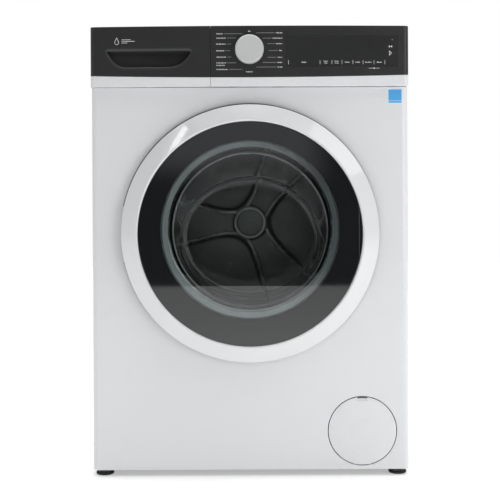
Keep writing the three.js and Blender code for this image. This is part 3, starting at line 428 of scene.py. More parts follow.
def surface(name, color, roughness, metallic=0.0, vary=0.05, patch=6, grain=500, bump=0.02 * MM,
            rough_vary=0.15, stretch=(1, 1, 1), detail=3, **sockets):
    """A finish with slow patches of tone, a fine grain, uneven gloss and a little relief."""
    g = Graph(name)
    slow = g.noise(patch, 4)
    fine = g.noise(grain, detail, stretch)
    both = g.math("ADD", g.math("MULTIPLY", slow, 0.65), g.math("MULTIPLY", fine, 0.35))
    tone = g.spread(both, 0, 1, 0.35, 0.65)
    g.set(base_color=g.mix(tone, shade(color, 1 - vary), shade(color, 1 + vary)))
    worn = g.math("ADD", g.math("MULTIPLY", g.noise(patch * 5, 5), 0.5), g.math("MULTIPLY", fine, 0.5))
    g.set(roughness=g.spread(worn, roughness * (1 - rough_vary), roughness * (1 + rough_vary)))
    g.set(metallic=metallic, **sockets)
    if bump:
        g.bump(fine, bump)
    return g.material


def brushed(name, color, roughness, stretch, grain=900):
    """Metal with fine marks drawn out along the axes that stretch makes small."""
    return surface(name, color, roughness, 1.0, 0.08, 5, grain, 0.01 * MM, 0.3, stretch, 2)


def galvanised(name):
    """Zinc coated sheet, with its crystal patches."""
    g = Graph(name)
    crystals = g.node("ShaderNodeTexVoronoi", {"Vector": g.place(), "Scale": 170.0, "Randomness": 1.0})
    tone = g.node("ShaderNodeSeparateColor", {"Color": crystals.outputs["Color"]}).outputs[0]
    dull = g.noise(5, 5)
    color = g.mix(tone, (0.42, 0.44, 0.46, 1), (0.52, 0.54, 0.56, 1))
    g.set(base_color=g.mix(g.spread(dull, 0, 0.35), color, (0.36, 0.37, 0.38, 1)), metallic=0.85)
    g.set(roughness=g.spread(g.math("ADD", g.math("MULTIPLY", tone, 0.5), g.math("MULTIPLY", dull, 0.5)),
                             0.32, 0.52))
    g.bump(g.noise(260, 3), 0.02 * MM, 0.3)
    return g.material


def lets_lamps_through(g, tint):
    """Glass that doesn't stop the light of the lamps, so that what is behind it is lit."""
    shadow_ray = g.node("ShaderNodeLightPath").outputs["Is Shadow Ray"]
    clear = g.node("ShaderNodeBsdfTransparent", {"Color": tint}).outputs[0]
    shown = g.mix_shaders(shadow_ray, g.shader.outputs[0], clear)
    g.feed(g.tree.nodes["Material Output"].inputs["Surface"], shown)
    return g.material


def glass(name, tint, roughness, ior, wave=0.0, shadow=None):
    g = Graph(name)
    haze = g.noise(14, 4)
    g.set(base_color=g.mix(g.spread(haze, 0, 1), shade(tint, 0.97), shade(tint, 1.03)))
    g.set(roughness=g.spread(haze, roughness * 0.6, roughness * 1.4), transmission_weight=1.0, ior=ior)
    if wave:
        g.bump(g.noise(16, 2), wave, 0.6)
    return lets_lamps_through(g, shadow or (0.8, 0.82, 0.82, 1))


def concrete(name):
    g = Graph(name)
    stones = g.node("ShaderNodeTexVoronoi", {"Vector": g.place(), "Scale": 160.0}).outputs["Distance"]
    sand = g.noise(420, 5, roughness=0.7)
    tone = g.mix(g.spread(stones, 0, 1, 0.05, 0.6), (0.22, 0.21, 0.20, 1), (0.40, 0.385, 0.36, 1))
    g.set(base_color=g.mix(g.spread(g.noise(9, 5), 0, 0.5), tone, (0.30, 0.29, 0.27, 1)), roughness=0.92)
    g.bump(sand, 0.35 * MM, 0.6)
    return g.material


def circuit(name):
    """Green board with fine tracks."""
    g = Graph(name)
    cells = g.node("ShaderNodeTexBrick", {"Vector": g.place(), "Scale": 90.0, "Mortar Size": 0.06,
                                          "Color1": (0.01, 0.085, 0.035, 1),
                                          "Color2": (0.012, 0.10, 0.04, 1),
                                          "Mortar": (0.03, 0.20, 0.09, 1)})
    g.set(base_color=cells.outputs["Color"], roughness=g.spread(g.noise(60, 3), 0.3, 0.5))
    g.bump(cells.outputs["Fac"], 0.05 * MM, 0.4)
    return g.material


PAINT = surface("paint_white", (0.76, 0.765, 0.775), 0.30, vary=0.008, patch=3, grain=900,
                bump=0.006 * MM, coat_weight=0.35, coat_roughness=0.12)
LAMINATE = surface("laminate_white", (0.78, 0.78, 0.785), 0.38, vary=0.01, patch=4, grain=1400,
                   bump=0.012 * MM)
WHITE_PLASTIC = surface("plastic_white", (0.76, 0.765, 0.775), 0.28, vary=0.008, patch=4, grain=1100,
                        bump=0.008 * MM, coat_weight=0.25, coat_roughness=0.15)
RING_PLASTIC = surface("plastic_white_gloss", (0.74, 0.745, 0.75), 0.14, vary=0.006, patch=4, grain=1200,
                       bump=0.003 * MM, coat_weight=1.0, coat_roughness=0.03)
CHARCOAL = surface("plastic_charcoal", (0.0215, 0.0215, 0.0217), 0.36, vary=0.05, patch=7, grain=1600,
                   bump=0.012 * MM, rough_vary=0.12)
# A darker copy of the charcoal plastic: painted shade in the drawer's pull, the door's grip and round the knob.
SHADED_CHARCOAL = surface("charcoal_painted_shade", (0.008, 0.008, 0.0085), 0.5, vary=0.08, patch=12, grain=1500,
                 bump=0.015 * MM)
SMOKED = surface("plastic_smoked", (0.0195, 0.0198, 0.020), 0.3, vary=0.04, patch=5, grain=900,
                 bump=0.003 * MM, rough_vary=0.1)
BLACK_GLOSS = surface("plastic_black_gloss", (0.0095, 0.010, 0.0105), 0.035, vary=0.05, patch=5, grain=700,
                      bump=0.0, rough_vary=0.25, ior=1.7)
SILVER = surface("plastic_silver", (0.65, 0.65, 0.647), 0.34, 0.25, vary=0.02, patch=10, grain=2200,
                 bump=0.01 * MM, rough_vary=0.1)
PRINT = surface("print_white", (0.80, 0.80, 0.80), 0.5, vary=0.06, patch=300, grain=2500, bump=0.0)
PRINT_DIM = surface("print_grey", (0.42, 0.42, 0.42), 0.5, vary=0.06, patch=300, grain=2500, bump=0.0)
STICKER_BLUE = surface("sticker_blue", (0.09, 0.40, 0.80), 0.35, vary=0.05, patch=30, grain=1500,
                       bump=0.004 * MM, coat_weight=0.4)
STICKER_PALE = surface("sticker_pale", (0.70, 0.80, 0.88), 0.35, vary=0.03, patch=30, grain=1500,
                       bump=0.004 * MM)
STAINLESS = brushed("steel_stainless", (0.60, 0.595, 0.585), 0.26, (1, 0.03, 1))
DRUM_BACK_STEEL = brushed("steel_drum_back", (0.22, 0.215, 0.205), 0.34, (1, 1, 1), 300)
# Brighter than the drum back: painted highlight on the pressed beads and round the hub.
DRUM_HIGHLIGHT_STEEL = surface("steel_drum_painted_highlight", (0.95, 0.93, 0.89), 0.32, 0.95, vary=0.06, patch=12, grain=900,
                          bump=0.01 * MM)
SPRING_STEEL = brushed("steel_spring", (0.42, 0.43, 0.45), 0.32, (1, 1, 0.05), 1500)
BEARING_STEEL = brushed("steel_bearing", (0.62, 0.63, 0.64), 0.18, (0.05, 1, 0.05), 1500)
SCREW_STEEL = surface("steel_screw", (0.55, 0.56, 0.57), 0.3, 0.95, vary=0.1, patch=200, grain=2500,
                      bump=0.02 * MM)
ZINC = galvanised("steel_galvanised")
CAST = surface("aluminium_cast", (0.50, 0.51, 0.52), 0.55, 0.9, vary=0.09, patch=20, grain=900,
               bump=0.12 * MM)
GREY_RUBBER = surface("rubber_grey", (0.20, 0.205, 0.21), 0.62, vary=0.08, patch=15, grain=1300,
                      bump=0.04 * MM,
                      sheen_weight=0.15)
SEAT_RUBBER = surface("rubber_seat", (0.095, 0.103, 0.103), 0.55, vary=0.06, patch=15, grain=1300,
                      bump=0.03 * MM)
BLACK_RUBBER = surface("rubber_black", (0.014, 0.014, 0.0145), 0.66, vary=0.12, patch=20, grain=1300,
                       bump=0.05 * MM, sheen_weight=0.1)
GREY_PLASTIC = surface("plastic_grey", (0.47, 0.475, 0.48), 0.45, vary=0.025, patch=9, grain=1300,
                       bump=0.02 * MM)
TUB_PLASTIC = surface("plastic_tub", (0.50, 0.50, 0.49), 0.55, vary=0.05, patch=8, grain=700,
                      bump=0.05 * MM)
# Near-black: painted shade for the door ring's gap and the filter cover's slot.
GAP_SHADE_BLACK = surface("gap_painted_shade", (0.02, 0.02, 0.027), 0.6, vary=0.08, patch=15, grain=1300,
                    bump=0.02 * MM)
# Pale and opaque: painted highlight lines on the bowl's glass.
BOWL_GLINT = surface("glass_painted_highlight", (0.30, 0.32, 0.32), 0.25, vary=0.1, patch=30, grain=900, bump=0.0)
DARK_PLASTIC = surface("plastic_dark", (0.025, 0.025, 0.0265), 0.5, vary=0.08, patch=12, grain=1300,
                       bump=0.03 * MM)
BLUE_PLASTIC = surface("plastic_blue", (0.03, 0.16, 0.42), 0.4, vary=0.04, patch=20, grain=1300,
                       bump=0.02 * MM)
CONCRETE = concrete("concrete_grey")
BOARD = circuit("board_green")
SMOKED_GLASS = glass("glass_smoked", (0.80, 0.82, 0.82), 0.0, 1.5, shadow=(0.93, 0.94, 0.94, 1))
BOWL_GLASS = glass("glass_bowl", (0.88, 0.93, 0.925), 0.01, 1.5, wave=0.25 * MM, shadow=(0.86, 0.9, 0.9, 1))

FINISH = {
    "white_steel": PAINT, "zinc_steel": ZINC, "white_laminate": LAMINATE, "white_plastic": WHITE_PLASTIC,
    "white_gloss_plastic": RING_PLASTIC, "charcoal_plastic": CHARCOAL, "smoked_window": SMOKED,
    "black_gloss": BLACK_GLOSS, "silver_plastic": SILVER, "clear_glass": BOWL_GLASS,
          "bright_steel": STAINLESS,
    "cast_aluminium": CAST, "grey_rubber": GREY_RUBBER, "black_rubber": BLACK_RUBBER,
    "grey_plastic": GREY_PLASTIC, "dark_plastic": DARK_PLASTIC, "concrete": CONCRETE,
          "circuit_board": BOARD,
}
NODE_FINISH = {
    "tub_front": TUB_PLASTIC, "tub_rear": TUB_PLASTIC, "bearing_front": BEARING_STEEL,
    "bearing_rear": BEARING_STEEL, "drum_shaft": BEARING_STEEL, "motor_pulley": BEARING_STEEL,
    "damper_rod_left": SPRING_STEEL, "damper_rod_right": SPRING_STEEL,
}


def dress_frame():
    """Every CAD node that stays in view gets its finish and softly rounded edges."""
    for name, node in frame["nodes"].items():
        node.data.materials.clear()
        node.data.materials.append(NODE_FINISH.get(name, FINISH[SLOT_OF[name]]))
        node.data.polygons.foreach_set("material_index", [0] * len(node.data.polygons))
        node.data.polygons.foreach_set("use_smooth", [True] * len(node.data.polygons))
        weld = node.modifiers.new("weld", "WELD")
        weld.merge_threshold = 0.01 * MM
        soften(node, 0.25 * MM, 1)


# ---------------------------------------------------------------- cabinet

def front_sheet():
    """The painted front: rounded upright edges, a rolled lip at the door and the filter hole."""
    corner, lip, filter_lip, fold = 12 * MM, 4 * MM, 0.9 * MM, 1.2 * MM
    flat = SIDE - corner
    filter_radius = 65.2 * MM
    fine, filter_fine = 160, 96
    slot = rectangle(192 * MM, 216 * MM, 445 * MM, 470 * MM, 3 * MM)
    holes = [circle(OPENING + lip, fine, 0, DRUM_Z),
             circle(filter_radius + filter_lip, filter_fine, FILTER_X, FILTER_Z), slot]
    build = Build().plate(rectangle(-flat, flat, PANEL_BOTTOM, PANEL_TOP), holes, FRONT)
    for hand in (-1, 1):
        plan = [(hand * (flat + corner * math.sin(a)), FRONT + corner * (1 - math.cos(a)))
                for a in np.linspace(0, math.pi / 2, 9)]
        plan.append((hand * SIDE, FASCIA_BACK))
        build.loft([[(x, y, PANEL_BOTTOM), (x, y, PANEL_TOP)] for x, y in plan], ring=False)
    build.loft([[(x, FRONT + y, PANEL_BOTTOM) for x in (-flat, flat)] for y in (0, fold)], ring=False)
    for radius, rim, depth, count, place in (
            (OPENING, lip, 14 * MM, fine, (0, 0, DRUM_Z)),
            (filter_radius, filter_lip, 3 * MM, filter_fine, (FILTER_X, 0, FILTER_Z))):
        rolled = [(radius + inset, FRONT + rise) for inset, rise in quarter(rim, 9)]
        build.revolve(rolled + [(radius, FRONT + depth)], count, place, closed=False)
    build.loft([[(x, FRONT + y, z) for x, z in slot] for y in (0, 6 * MM)])
    build.piece("front_sheet", "cabinet", PAINT, ["front_panel"], sheet=SHEET, facing=FORWARDS)


def smoothstep(t):
    t = np.clip(t, 0, 1)
    return t * t * (3 - 2 * t)


def rounded_field(u, v, half_u, half_v, corner, ramp):
    """1 inside a rounded rectangle about the middle, 0 outside, and smooth over the ramp."""
    du, dv = np.abs(u) - (half_u - corner), np.abs(v) - (half_v - corner)
    outside = np.hypot(np.maximum(du, 0), np.maximum(dv, 0)) + np.minimum(np.maximum(du, dv), 0)
    return smoothstep((corner - outside) / ramp + 0.5)


def side_sheet(hand, name, node):
    """A side sheet with a shallow pressed field that stiffens it, and its spring's hanger."""
    low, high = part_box(node)
    depth, ramp, fold = 3.5 * MM, 16 * MM, 11 * MM
    along, upwards = np.linspace(low.y, high.y, 97), np.linspace(low.z, high.z, 129)
    grid = np.meshgrid(along - middle(node, "y"), upwards - middle(node, "z"))
    field = rounded_field(*grid, 170 * MM, 335 * MM, 60 * MM, ramp)
    inner = rounded_field(*grid, 105 * MM, 270 * MM, 40 * MM, ramp)
    press = depth * (field - 0.6 * inner)
    loops = [[(hand * (SIDE - press[i, j]), y, z) for j, y in enumerate(along)]
             for i, z in enumerate(upwards)]
    build = Build().loft(loops, ring=False)
    for y in (low.y, high.y - 0.2 * MM):
        build.loft([[(hand * x, y, z) for x in (SIDE, SIDE - fold)] for z in (low.z + 40 * MM, high.z)],
                   ring=False)
    build.piece(name, "cabinet", PAINT, [node], sheet=SHEET, facing=(hand, 0, 0))
    hanger = Build()
    y, wall = middle("spring_right", "y"), SIDE - 1.2 * MM
    for inner_x, half, z0, z1 in ((248 * MM, 8 * MM, 793 * MM, 797 * MM),
                                  (wall - 2 * MM, 12 * MM, 770 * MM, 805 * MM)):
        hanger.box(*sorted((hand * inner_x, hand * wall)), y - half, y + half, z0, z1)
    hanger.piece(name + "_hanger", "cabinet", ZINC, slot="zinc_steel", bevel=0.6 * MM)


def worktop():
    """The board, with rounded corners and softened edges."""
    low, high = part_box("worktop")
    outline = rectangle(low.x, high.x, low.y, high.y, 7 * MM, 6)
    build = Build().soft_extrude(outline, low.z, high.z, 2 * MM, place=lying, steps=4)
    build.piece("worktop_board", "cabinet", LAMINATE, ["worktop"])


def rear():
    """The rear sheet with louvres and holes, the pressed service cover, the screws and the bolt caps."""
    low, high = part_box("rear_panel")
    cover_low, cover_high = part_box("rear_service_cover")
    cover_box = (cover_low.x, cover_high.x, cover_low.z, cover_high.z)

    def inside_cover(inset, radius):
        x0, x1, z0, z1 = cover_box
        return rectangle(x0 + inset, x1 - inset, z0 + inset, z1 - inset, radius, 10)

    holes = [inside_cover(15 * MM, 60 * MM)]
    for node, radius, count in (("inlet_valve", 14 * MM, 40), ("mains_gland", 10 * MM, 32)):
        holes.append(circle(radius, count, middle(node, "x"), middle(node, "z")))
    slots = []
    for row in range(7):
        z = 0.66 + row * 0.011
        for x0, x1 in ((0.02, 0.11), (-0.11, -0.02)):
            slots.append(rectangle(x0, x1, z, z + 4 * MM, 2 * MM, 4))
    build = Build().plate(rectangle(low.x, high.x, low.z, high.z), holes + slots, high.y)
    for opening in slots:
        build.loft([[(x, high.y - y, z) for x, z in opening] for y in (0, 2.5 * MM)])
    build.piece("rear_sheet", "cabinet", ZINC, ["rear_panel"], sheet=SHEET, facing=(0, 1, 0))
    base, top = cover_low.y, cover_high.y
    pressing = scaled((0, 0), (0, 1), (24, 1), (30, 1.8), (36, 6.6), (42, 7.7), (60, 8), (78, 8), (84, 7.2),
                      (92, 3.4), (98, 2.6))
    loops = [[(x, base + min(rise, top - base), z) for x,
              z in inside_cover(inset, max(75 * MM - inset, 12 * MM))]
             for inset, rise in pressing]
    build = Build().loft(loops, caps=(True, True))
    build.piece("service_cover", "cabinet", ZINC, ["rear_service_cover"], smooth=50)
    heads = Build()
    for x0, x1, z0, z1, inset, end, count, y in ((*cover_box, 9 * MM, 90 * MM, 4, base + SHEET),
                                                 (low.x, high.x, low.z, high.z, 8 * MM, 30 * MM, 6,
                                                  high.y)):
        for x in (x0 + inset, x1 - inset):
            for z in np.linspace(z0 + end, z1 - end, count):
                screw(heads, (x, y, z), (0, 1, 0))
    heads.piece("rear_screws", "cabinet", SCREW_STEEL, slot="bright_steel", smooth=30)
    caps = Build()
    profile = scaled((0, 4.2), (9, 4), (13, 2.6), (17, 1.2), (18, 0), (0, 0))
    for x in (-0.215, 0.215):
        for z in (0.62, 0.30):
            caps.revolve(profile, 40, (x, high.y, z))
            caps.box(x - 6 * MM, x + 6 * MM, high.y + 3.9 * MM, high.y + 5.2 * MM, z - 1.2 * MM,
                     z + 1.2 * MM)
    caps.piece("transit_bolt_caps", "cabinet", GREY_PLASTIC, slot="grey_plastic", smooth=30)


def screw(build, place, axis, radius=4 * MM):
    """A pan head screw with a cross recess."""
    u, v, n = basis(axis)
    rise, recess = radius * 0.55, radius * 0.5
    steps = [(1.0, 0.0), (1.0, 0.25), (0.94, 0.6), (0.75, 0.88), (0.5, 1.0)]
    build.revolve([(radius * r, rise * h) for r, h in steps] + [(recess, rise)], 20, place, axis,
                  closed=False)
    half, arm = radius * 0.1, radius * 0.42
    star = []
    for k in range(4):
        c, s = math.cos(k * math.pi / 2), math.sin(k * math.pi / 2)
        star += [(p * c - q * s, p * s + q * c) for p, q in ((half, -half), (arm, -half), (arm, half))]

    def at(height, size, outline):
        return [Vector(place) + n * height + u * p * size + v * q * size for p, q in outline]

    build.fill([at(rise, 1, circle(recess, 20)), at(rise, 1, star)], n)
    build.loft([at(rise, 1, star), at(rise * 0.4, 0.6, star)], caps=(False, True))


def feet():
    """Levelling feet: a rubber pad under a hexagon of dark plastic on a threaded stud."""
    pad_top, hexagon_top, pitch = 4.8 * MM, 10.5 * MM, 1.5 * MM
    record = frame["record"]["behaviour"]["bodies"]
    bodies = {node: body for body, nodes in record.items() for node in nodes}
    for node in ("foot_front_left", "foot_front_right", "foot_back_left", "foot_back_right"):
        low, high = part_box(node)
        x, y = middle(node, "x"), middle(node, "y")
        radius = (high.x - low.x) / 2
        up = (0, 0, 1)
        pad = [(0, 0), (radius - 2 * MM, 0), (radius, 1.5 * MM), (radius, pad_top), (0, pad_top)]
        build = Build().revolve(fillet(pad, 1.2 * MM, 4, False), 48, (x, y, 0), up, 0)
        hexagon = [(x + u, y + v) for u, v in fillet(circle(radius * 0.93, 6), 2 * MM, 3)]
        build.soft_extrude(hexagon, pad_top, hexagon_top, 0.8 * MM, 1, lying)
        thread = []
        for i in range(int((high.z - 11 * MM) / pitch)):
            z = hexagon_top + i * pitch
            thread += [(5 * MM, z), (4.4 * MM, z + pitch * 0.5)]
        thread += [(5 * MM, high.z - 1 * MM), (0, high.z)]
        build.revolve([(0, hexagon_top), *thread], 24, (x, y, 0), up, 2)
        build.piece(node + "_detail", bodies[node], [BLACK_RUBBER, DARK_PLASTIC, SCREW_STEEL], [node])


# ---------------------------------------------------------------- fascia

def bow(x):
    """Y of the fascia's face, which bulges forwards at the middle."""
    return FRONT - FASCIA_PROUD - FASCIA_BOW * (1 - (x / SIDE) ** 2)


def fascia_plan(xs, inset=0.0):
    """Points across the fascia. Past the start of an end's rounding they follow its arc."""
    start = SIDE - END_ROUND
    centre_y = bow(start) + END_ROUND
    plan = []
    for x in xs:
        beyond = abs(x) - start
        if beyond <= 1e-9:
            plan.append((x, bow(x) + inset))
            continue
        angle = beyond / END_ROUND * math.pi / 2
        radius = END_ROUND - inset
        hand = math.copysign(1, x)
        plan.append((hand * (start + radius * math.sin(angle)), centre_y - radius * math.cos(angle)))
    return plan


def across(x0, x1, extra=()):
    """Steps across a fascia panel, finer over a rounded end."""
    start = SIDE - END_ROUND
    inner = np.arange(max(x0, -start), min(x1, start), 12 * MM).tolist()
    xs = {round(x, 6) for x in [x0, x1, *inner, *extra]}
    for hand in (-1, 1):
        xs |= {round(hand * (start + END_ROUND * t), 6) for t in np.linspace(0, 1, 9)}
    return sorted(x for x in xs if x0 - 2e-6 <= x <= x1 + 2e-6)


def skin(build, xs, levels, skip=None):
    """Quads over a fascia face. levels are (inset, z, share of the sag) from the bottom to the top."""
    rows = [[(x, y, z + share * SAG * (x / SIDE) ** 2) for x, y in fascia_plan(xs, inset)]
            for inset, z, share in levels]
    for i in range(len(rows) - 1):
        for j in range(len(xs) - 1):
            if skip and skip((xs[j] + xs[j + 1]) / 2, (levels[i][1] + levels[i + 1][1]) / 2):
                continue
            corners = [rows[i][j], rows[i][j + 1], rows[i + 1][j + 1], rows[i + 1][j]]
            build.add(corners, [(0, 1, 2, 3)])


def edge_levels(bottom, top, round_by, between=(), curve=(0, 0)):
    """Heights up a panel whose lower and upper edges are rounded, as (inset, z, share of the sag).

    curve is how far each edge follows the sag. A guard row beside each rounding keeps the shading flat.
    """
    guard = round_by + 0.5 * MM
    rim = quarter(round_by, 5)
    lower = [(inset, bottom + rise, curve[0]) for inset, rise in rim] + [(0, bottom + guard, curve[0])]
    upper = [(0, top - guard, curve[1])] + [(rise, top - inset, curve[1]) for inset, rise in rim]
    return lower + [(0, z, 0) for z in between] + upper


def fascia():
    """The fascia moulding, the dark skin on it, the white strip below and the display."""
    (x0, _, z0), (x1, _, z1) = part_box("display_window")
    gap = 0.3 * MM
    inside = lambda x, z: x0 - gap < x < x1 + gap and z0 - gap < z < z1 + gap
    build = Build()
    skin(build, across(FASCIA_LEFT, SIDE, (x0 - gap, x1 + gap)),
         edge_levels(STRIP_TOP, TOP, SKIN_ROUND, (z0 - gap, z1 + gap), (1, 0)), skip=inside)
    build.piece("fascia_skin", "cabinet", CHARCOAL, ["fascia_overlay"], sheet=1.8 * MM, facing=FORWARDS)
    white_strip("fascia_strip", "cabinet", FASCIA_LEFT, SIDE)
    body = Build()
    back, shelf_back = FASCIA_BACK, WORKTOP_FRONT - gap
    plan = fascia_plan(across(FASCIA_LEFT, SIDE), WALL)
    lower, upper, top_face = FASCIA_BOTTOM + 0.5 * MM, WORKTOP_BOTTOM - 0.3 * MM, TOP - 0.4 * MM
    for end, low_z, high_z, caps in ((back, lower, upper, (True, False)),
                                (shelf_back, upper, top_face, (True, True))):
        outline = plan + [(SIDE, end), (FASCIA_LEFT, end)]
        body.loft([[(x, y, z) for x, y in outline] for z in (low_z, high_z)], caps=caps)
    frame_y = -236 * MM
    tray_low, tray_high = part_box("drawer_tray")
    left, right, joint = tray_low.x - 2.5 * MM, tray_high.x + 2 * MM, FASCIA_LEFT + 1 * MM
    bottom, top = tray_low.z - 3 * MM, tray_high.z + 6 * MM
    for box in ((-SIDE, left, frame_y, back, FASCIA_BOTTOM, upper),
                (right, joint, frame_y, back, FASCIA_BOTTOM, upper),
                (left, right, frame_y, back, FASCIA_BOTTOM, bottom),
                (left, right, frame_y, back, top, upper),
                (-SIDE, joint, frame_y, shelf_back, upper - 0.5 * MM, top_face)):
        body.box(*box)
    body.piece("fascia_moulding", "cabinet", WHITE_PLASTIC, ["fascia_body"], bevel=0.4 * MM)
    build = Build()
    skin(build, across(x0, x1), edge_levels(z0, z1, 0.35 * MM))
    build.piece("display_pane", "cabinet", SMOKED, ["display_window"], sheet=1.4 * MM, facing=FORWARDS)


def white_strip(name, body, x0, x1):
    """The white strip under the dark skin, on the fascia or on the drawer."""
    strip = Build()
    skin(strip, across(x0, x1), edge_levels(FASCIA_BOTTOM, STRIP_TOP - 0.3 * MM, 0.7 * MM, (), (0, 1)))
    strip.piece(name, body, WHITE_PLASTIC, slot="white_plastic", sheet=2 * MM, facing=FORWARDS)


def resample(points, count):
    """Evenly spaced points along a closed outline."""
    p = np.array(points + points[:1], float)
    run = np.concatenate([[0], np.cumsum(np.linalg.norm(np.diff(p, axis=0), axis=1))])
    at = np.arange(count) / count * run[-1]
    return np.stack([np.interp(at, run, p[:, 0]), np.interp(at, run, p[:, 1])], 1)


def offset(points, distance):
    """A closed anticlockwise outline moved outwards."""
    along = np.roll(points, -1, 0) - np.roll(points, 1, 0)
    along /= np.maximum(np.linalg.norm(along, axis=1), 1e-9)[:, None]
    return points + np.stack([along[:, 1], -along[:, 0]], 1) * distance


def pull_outline():
    """The boat-shaped opening of the drawer's pull, straight along its top. Anticlockwise."""
    left, right, bottom, top = (v * MM for v in (-266, -110, 770, 798))
    flat_left, flat_right, end = -234 * MM, -150 * MM, 12 * MM
    low = bottom + 2 * MM
    return (bezier((left, top), (left + end, low), (flat_left, bottom), 15)
            + bezier((flat_right, bottom), (right - end, low), (right, top), 15))


def drawer():
    """The drawer's front: a dark skin that dips softly into the pull, its pocket, strip and shell."""
    hole = resample(pull_outline(), 176)
    ease = SKIN_ROUND
    x0, x1, z0, z1 = -SIDE + END_ROUND, DRAWER_RIGHT, STRIP_TOP + ease, TOP - ease
    centre = np.array([-188 * MM, 786 * MM])
    wide, dip = 8.5 * MM, 4.2 * MM
    rim = offset(hole, wide)
    rays = rim - centre
    with np.errstate(divide="ignore"):
        reach_x = np.where(rays[:, 0] > 0, x1 - centre[0], x0 - centre[0]) / rays[:, 0]
        reach_z = np.where(rays[:, 1] > 0, z1 - centre[1], z0 - centre[1]) / rays[:, 1]
    frame_points = centre + rays * np.minimum(reach_x, reach_z)[:, None]
    for corner in ((x0, z0), (x1, z0), (x1, z1), (x0, z1)):
        nearest = np.argmin(np.linalg.norm(frame_points - np.array(corner), axis=1))
        frame_points[nearest] = corner
    loops = []
    for t in np.linspace(0, 1, 9)[:-1]:
        points = frame_points * (1 - t) + rim * t
        lower = (z1 - points[:, 1]) / (z1 - z0) * (1 - t)
        loops.append([(x, bow(x), z + SAG * (x / SIDE) ** 2 * share) for (x, z),
                      share in zip(points, lower)])
    for t in np.linspace(0, 1, 13):
        deeper = dip * (1 - math.sqrt(max(0.0, 1 - t ** 2)))
        loops.append([(x, bow(x) + deeper, z) for x, z in offset(hole, wide * (1 - t))])
    build = Build().loft(loops)
    high_run, low_run = (sorted({round(float(x), 6) for x, z in frame_points if abs(z - end) < 1e-6})
                         for end in (z1, z0))
    turns = np.linspace(0, math.pi / 2, 5)
    skin(build, high_run, [(ease * (1 - math.cos(a)), z1 + ease * math.sin(a), 0) for a in turns])
    skin(build, low_run, [(ease * (1 - math.sin(a)), z0 - ease * math.cos(a), 1) for a in turns])
    skin(build, across(-SIDE, x0), edge_levels(STRIP_TOP, TOP, ease, (), (1, 0)))
    build.piece("drawer_skin", "drawer", CHARCOAL, ["drawer_overlay"], sheet=1.6 * MM, facing=FORWARDS)
    # The pull's pocket is in the darker charcoal: painted shade inside the recess.
    grown = offset(hole, 3.5 * MM)
    grown[:, 1] += np.where(grown[:, 1] > 790 * MM, 5 * MM, 0)
    loops = [[(x, bow(x) + dip - 0.2 * MM, z) for x, z in offset(hole, 0.4 * MM)]]
    for points, y in ((hole, -252.5), (grown, -251), (grown, -243), (offset(hole, -2 * MM), -241.6)):
        loops.append([(x, y * MM, z) for x, z in points])
    pocket = Build().loft(loops, caps=(False, True))
    pocket.piece("drawer_pocket", "drawer", SHADED_CHARCOAL, slot="charcoal_plastic")
    white_strip("drawer_strip", "drawer", -SIDE, DRAWER_RIGHT)
    drawer_shell()
    tray_details()


def drawer_shell():
    """The white moulding behind the drawer's skins: a lid, a floor and two ends."""
    shell = Build()
    thick = 2 * MM
    left, back = -SIDE + 0.5 * MM, edge("drawer_front", "y", 1)
    bottom, top = FASCIA_BOTTOM + 0.5 * MM, TOP - 0.4 * MM
    outer = fascia_plan(across(left, DRAWER_RIGHT), WALL) + [(DRAWER_RIGHT, back), (left, back)]
    for z in (bottom, top - thick):
        shell.loft([[(x, y, level) for x, y in outer] for level in (z, z + thick)], caps=(True, True))
    for x, later in ((left, END_ROUND), (DRAWER_RIGHT - thick, 0)):
        shell.box(x, x + thick, fascia_plan([x], WALL)[0][1] + later, back, bottom, top)
    shell.piece("drawer_front_shell", "drawer", WHITE_PLASTIC, ["drawer_front"], bevel=0.3 * MM)


def tray_details():
    """The siphon cap of the middle compartment and the level marks."""
    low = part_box("drawer_tray")[0]
    cap = Build()
    x, y = -199.3 * MM, low.y + 190 * MM
    for profile in (scaled((0, 40), (15, 40), (17, 38), (17, 30), (15, 28), (0, 28)),
                    scaled((0, 28), (7, 28), (7, 3), (0, 3))):
        cap.revolve([(r, low.z + h) for r, h in profile], 36, (x, y, 0), (0, 0, 1))
    outline = rectangle(x - 22 * MM, x + 22 * MM, y - 60 * MM, y + 30 * MM, 5 * MM)
    plate_top = low.z + 43 * MM
    cap.soft_extrude(outline, plate_top - 3 * MM, plate_top, 0.8 * MM, place=lying)
    for k in range(4):
        near = y - (50 - k * 6) * MM
        cap.box(x - 16 * MM, x + 16 * MM, near, near + 2 * MM, plate_top, plate_top + 1.2 * MM)
    cap.piece("siphon_cap", "drawer", BLUE_PLASTIC, slot="grey_plastic", bevel=0.3 * MM)
    marks = Build()
    for height in (18, 28, 38):
        z = low.z + height * MM
        marks.box(-90.2 * MM, -88.7 * MM, low.y + 100 * MM, low.y + 125 * MM, z, z + 0.8 * MM)
    marks.piece("level_marks", "drawer", BLUE_PLASTIC, slot="grey_plastic")


def knob():
    """A plain round knob with a bright turned bevel, over a dark collar that is painted shade round the knob."""
    r, y = KNOB_RADIUS, KNOB_FACE
    back, seat = -262.8 * MM, -250.5 * MM
    face = [(r + inset * MM, y + depth * MM) for inset, depth in (
        (-8, 0.25), (-2.6, 0), (-2.2, 0.05), (-0.9, 1.5), (-0.25, 3), (0, 5))]
    profile = [(0, y + 0.5 * MM), *face, (r, back), (6 * MM, back), (6 * MM, seat), (0, seat)]
    Build().revolve(profile, 120, (0, 0, KNOB_Z)).piece("knob_body", "knob", SILVER, ["program_knob"],
                                                        smooth=22)
    # The collar's near-black stands for the knob's shadow on the fascia: painted shade.
    outer, inner = r + 1.6 * MM, 9 * MM
    collar = [(outer, -261.9 * MM), (outer - 0.2 * MM, -262.6 * MM), (inner, -262.5 * MM),
              (inner, -261 * MM),
              (outer, -261 * MM)]
    Build().revolve(collar, 120, (0, 0, KNOB_Z)).piece("knob_shade_collar", "cabinet", SHADED_CHARCOAL,
                                                       slot="charcoal_plastic")


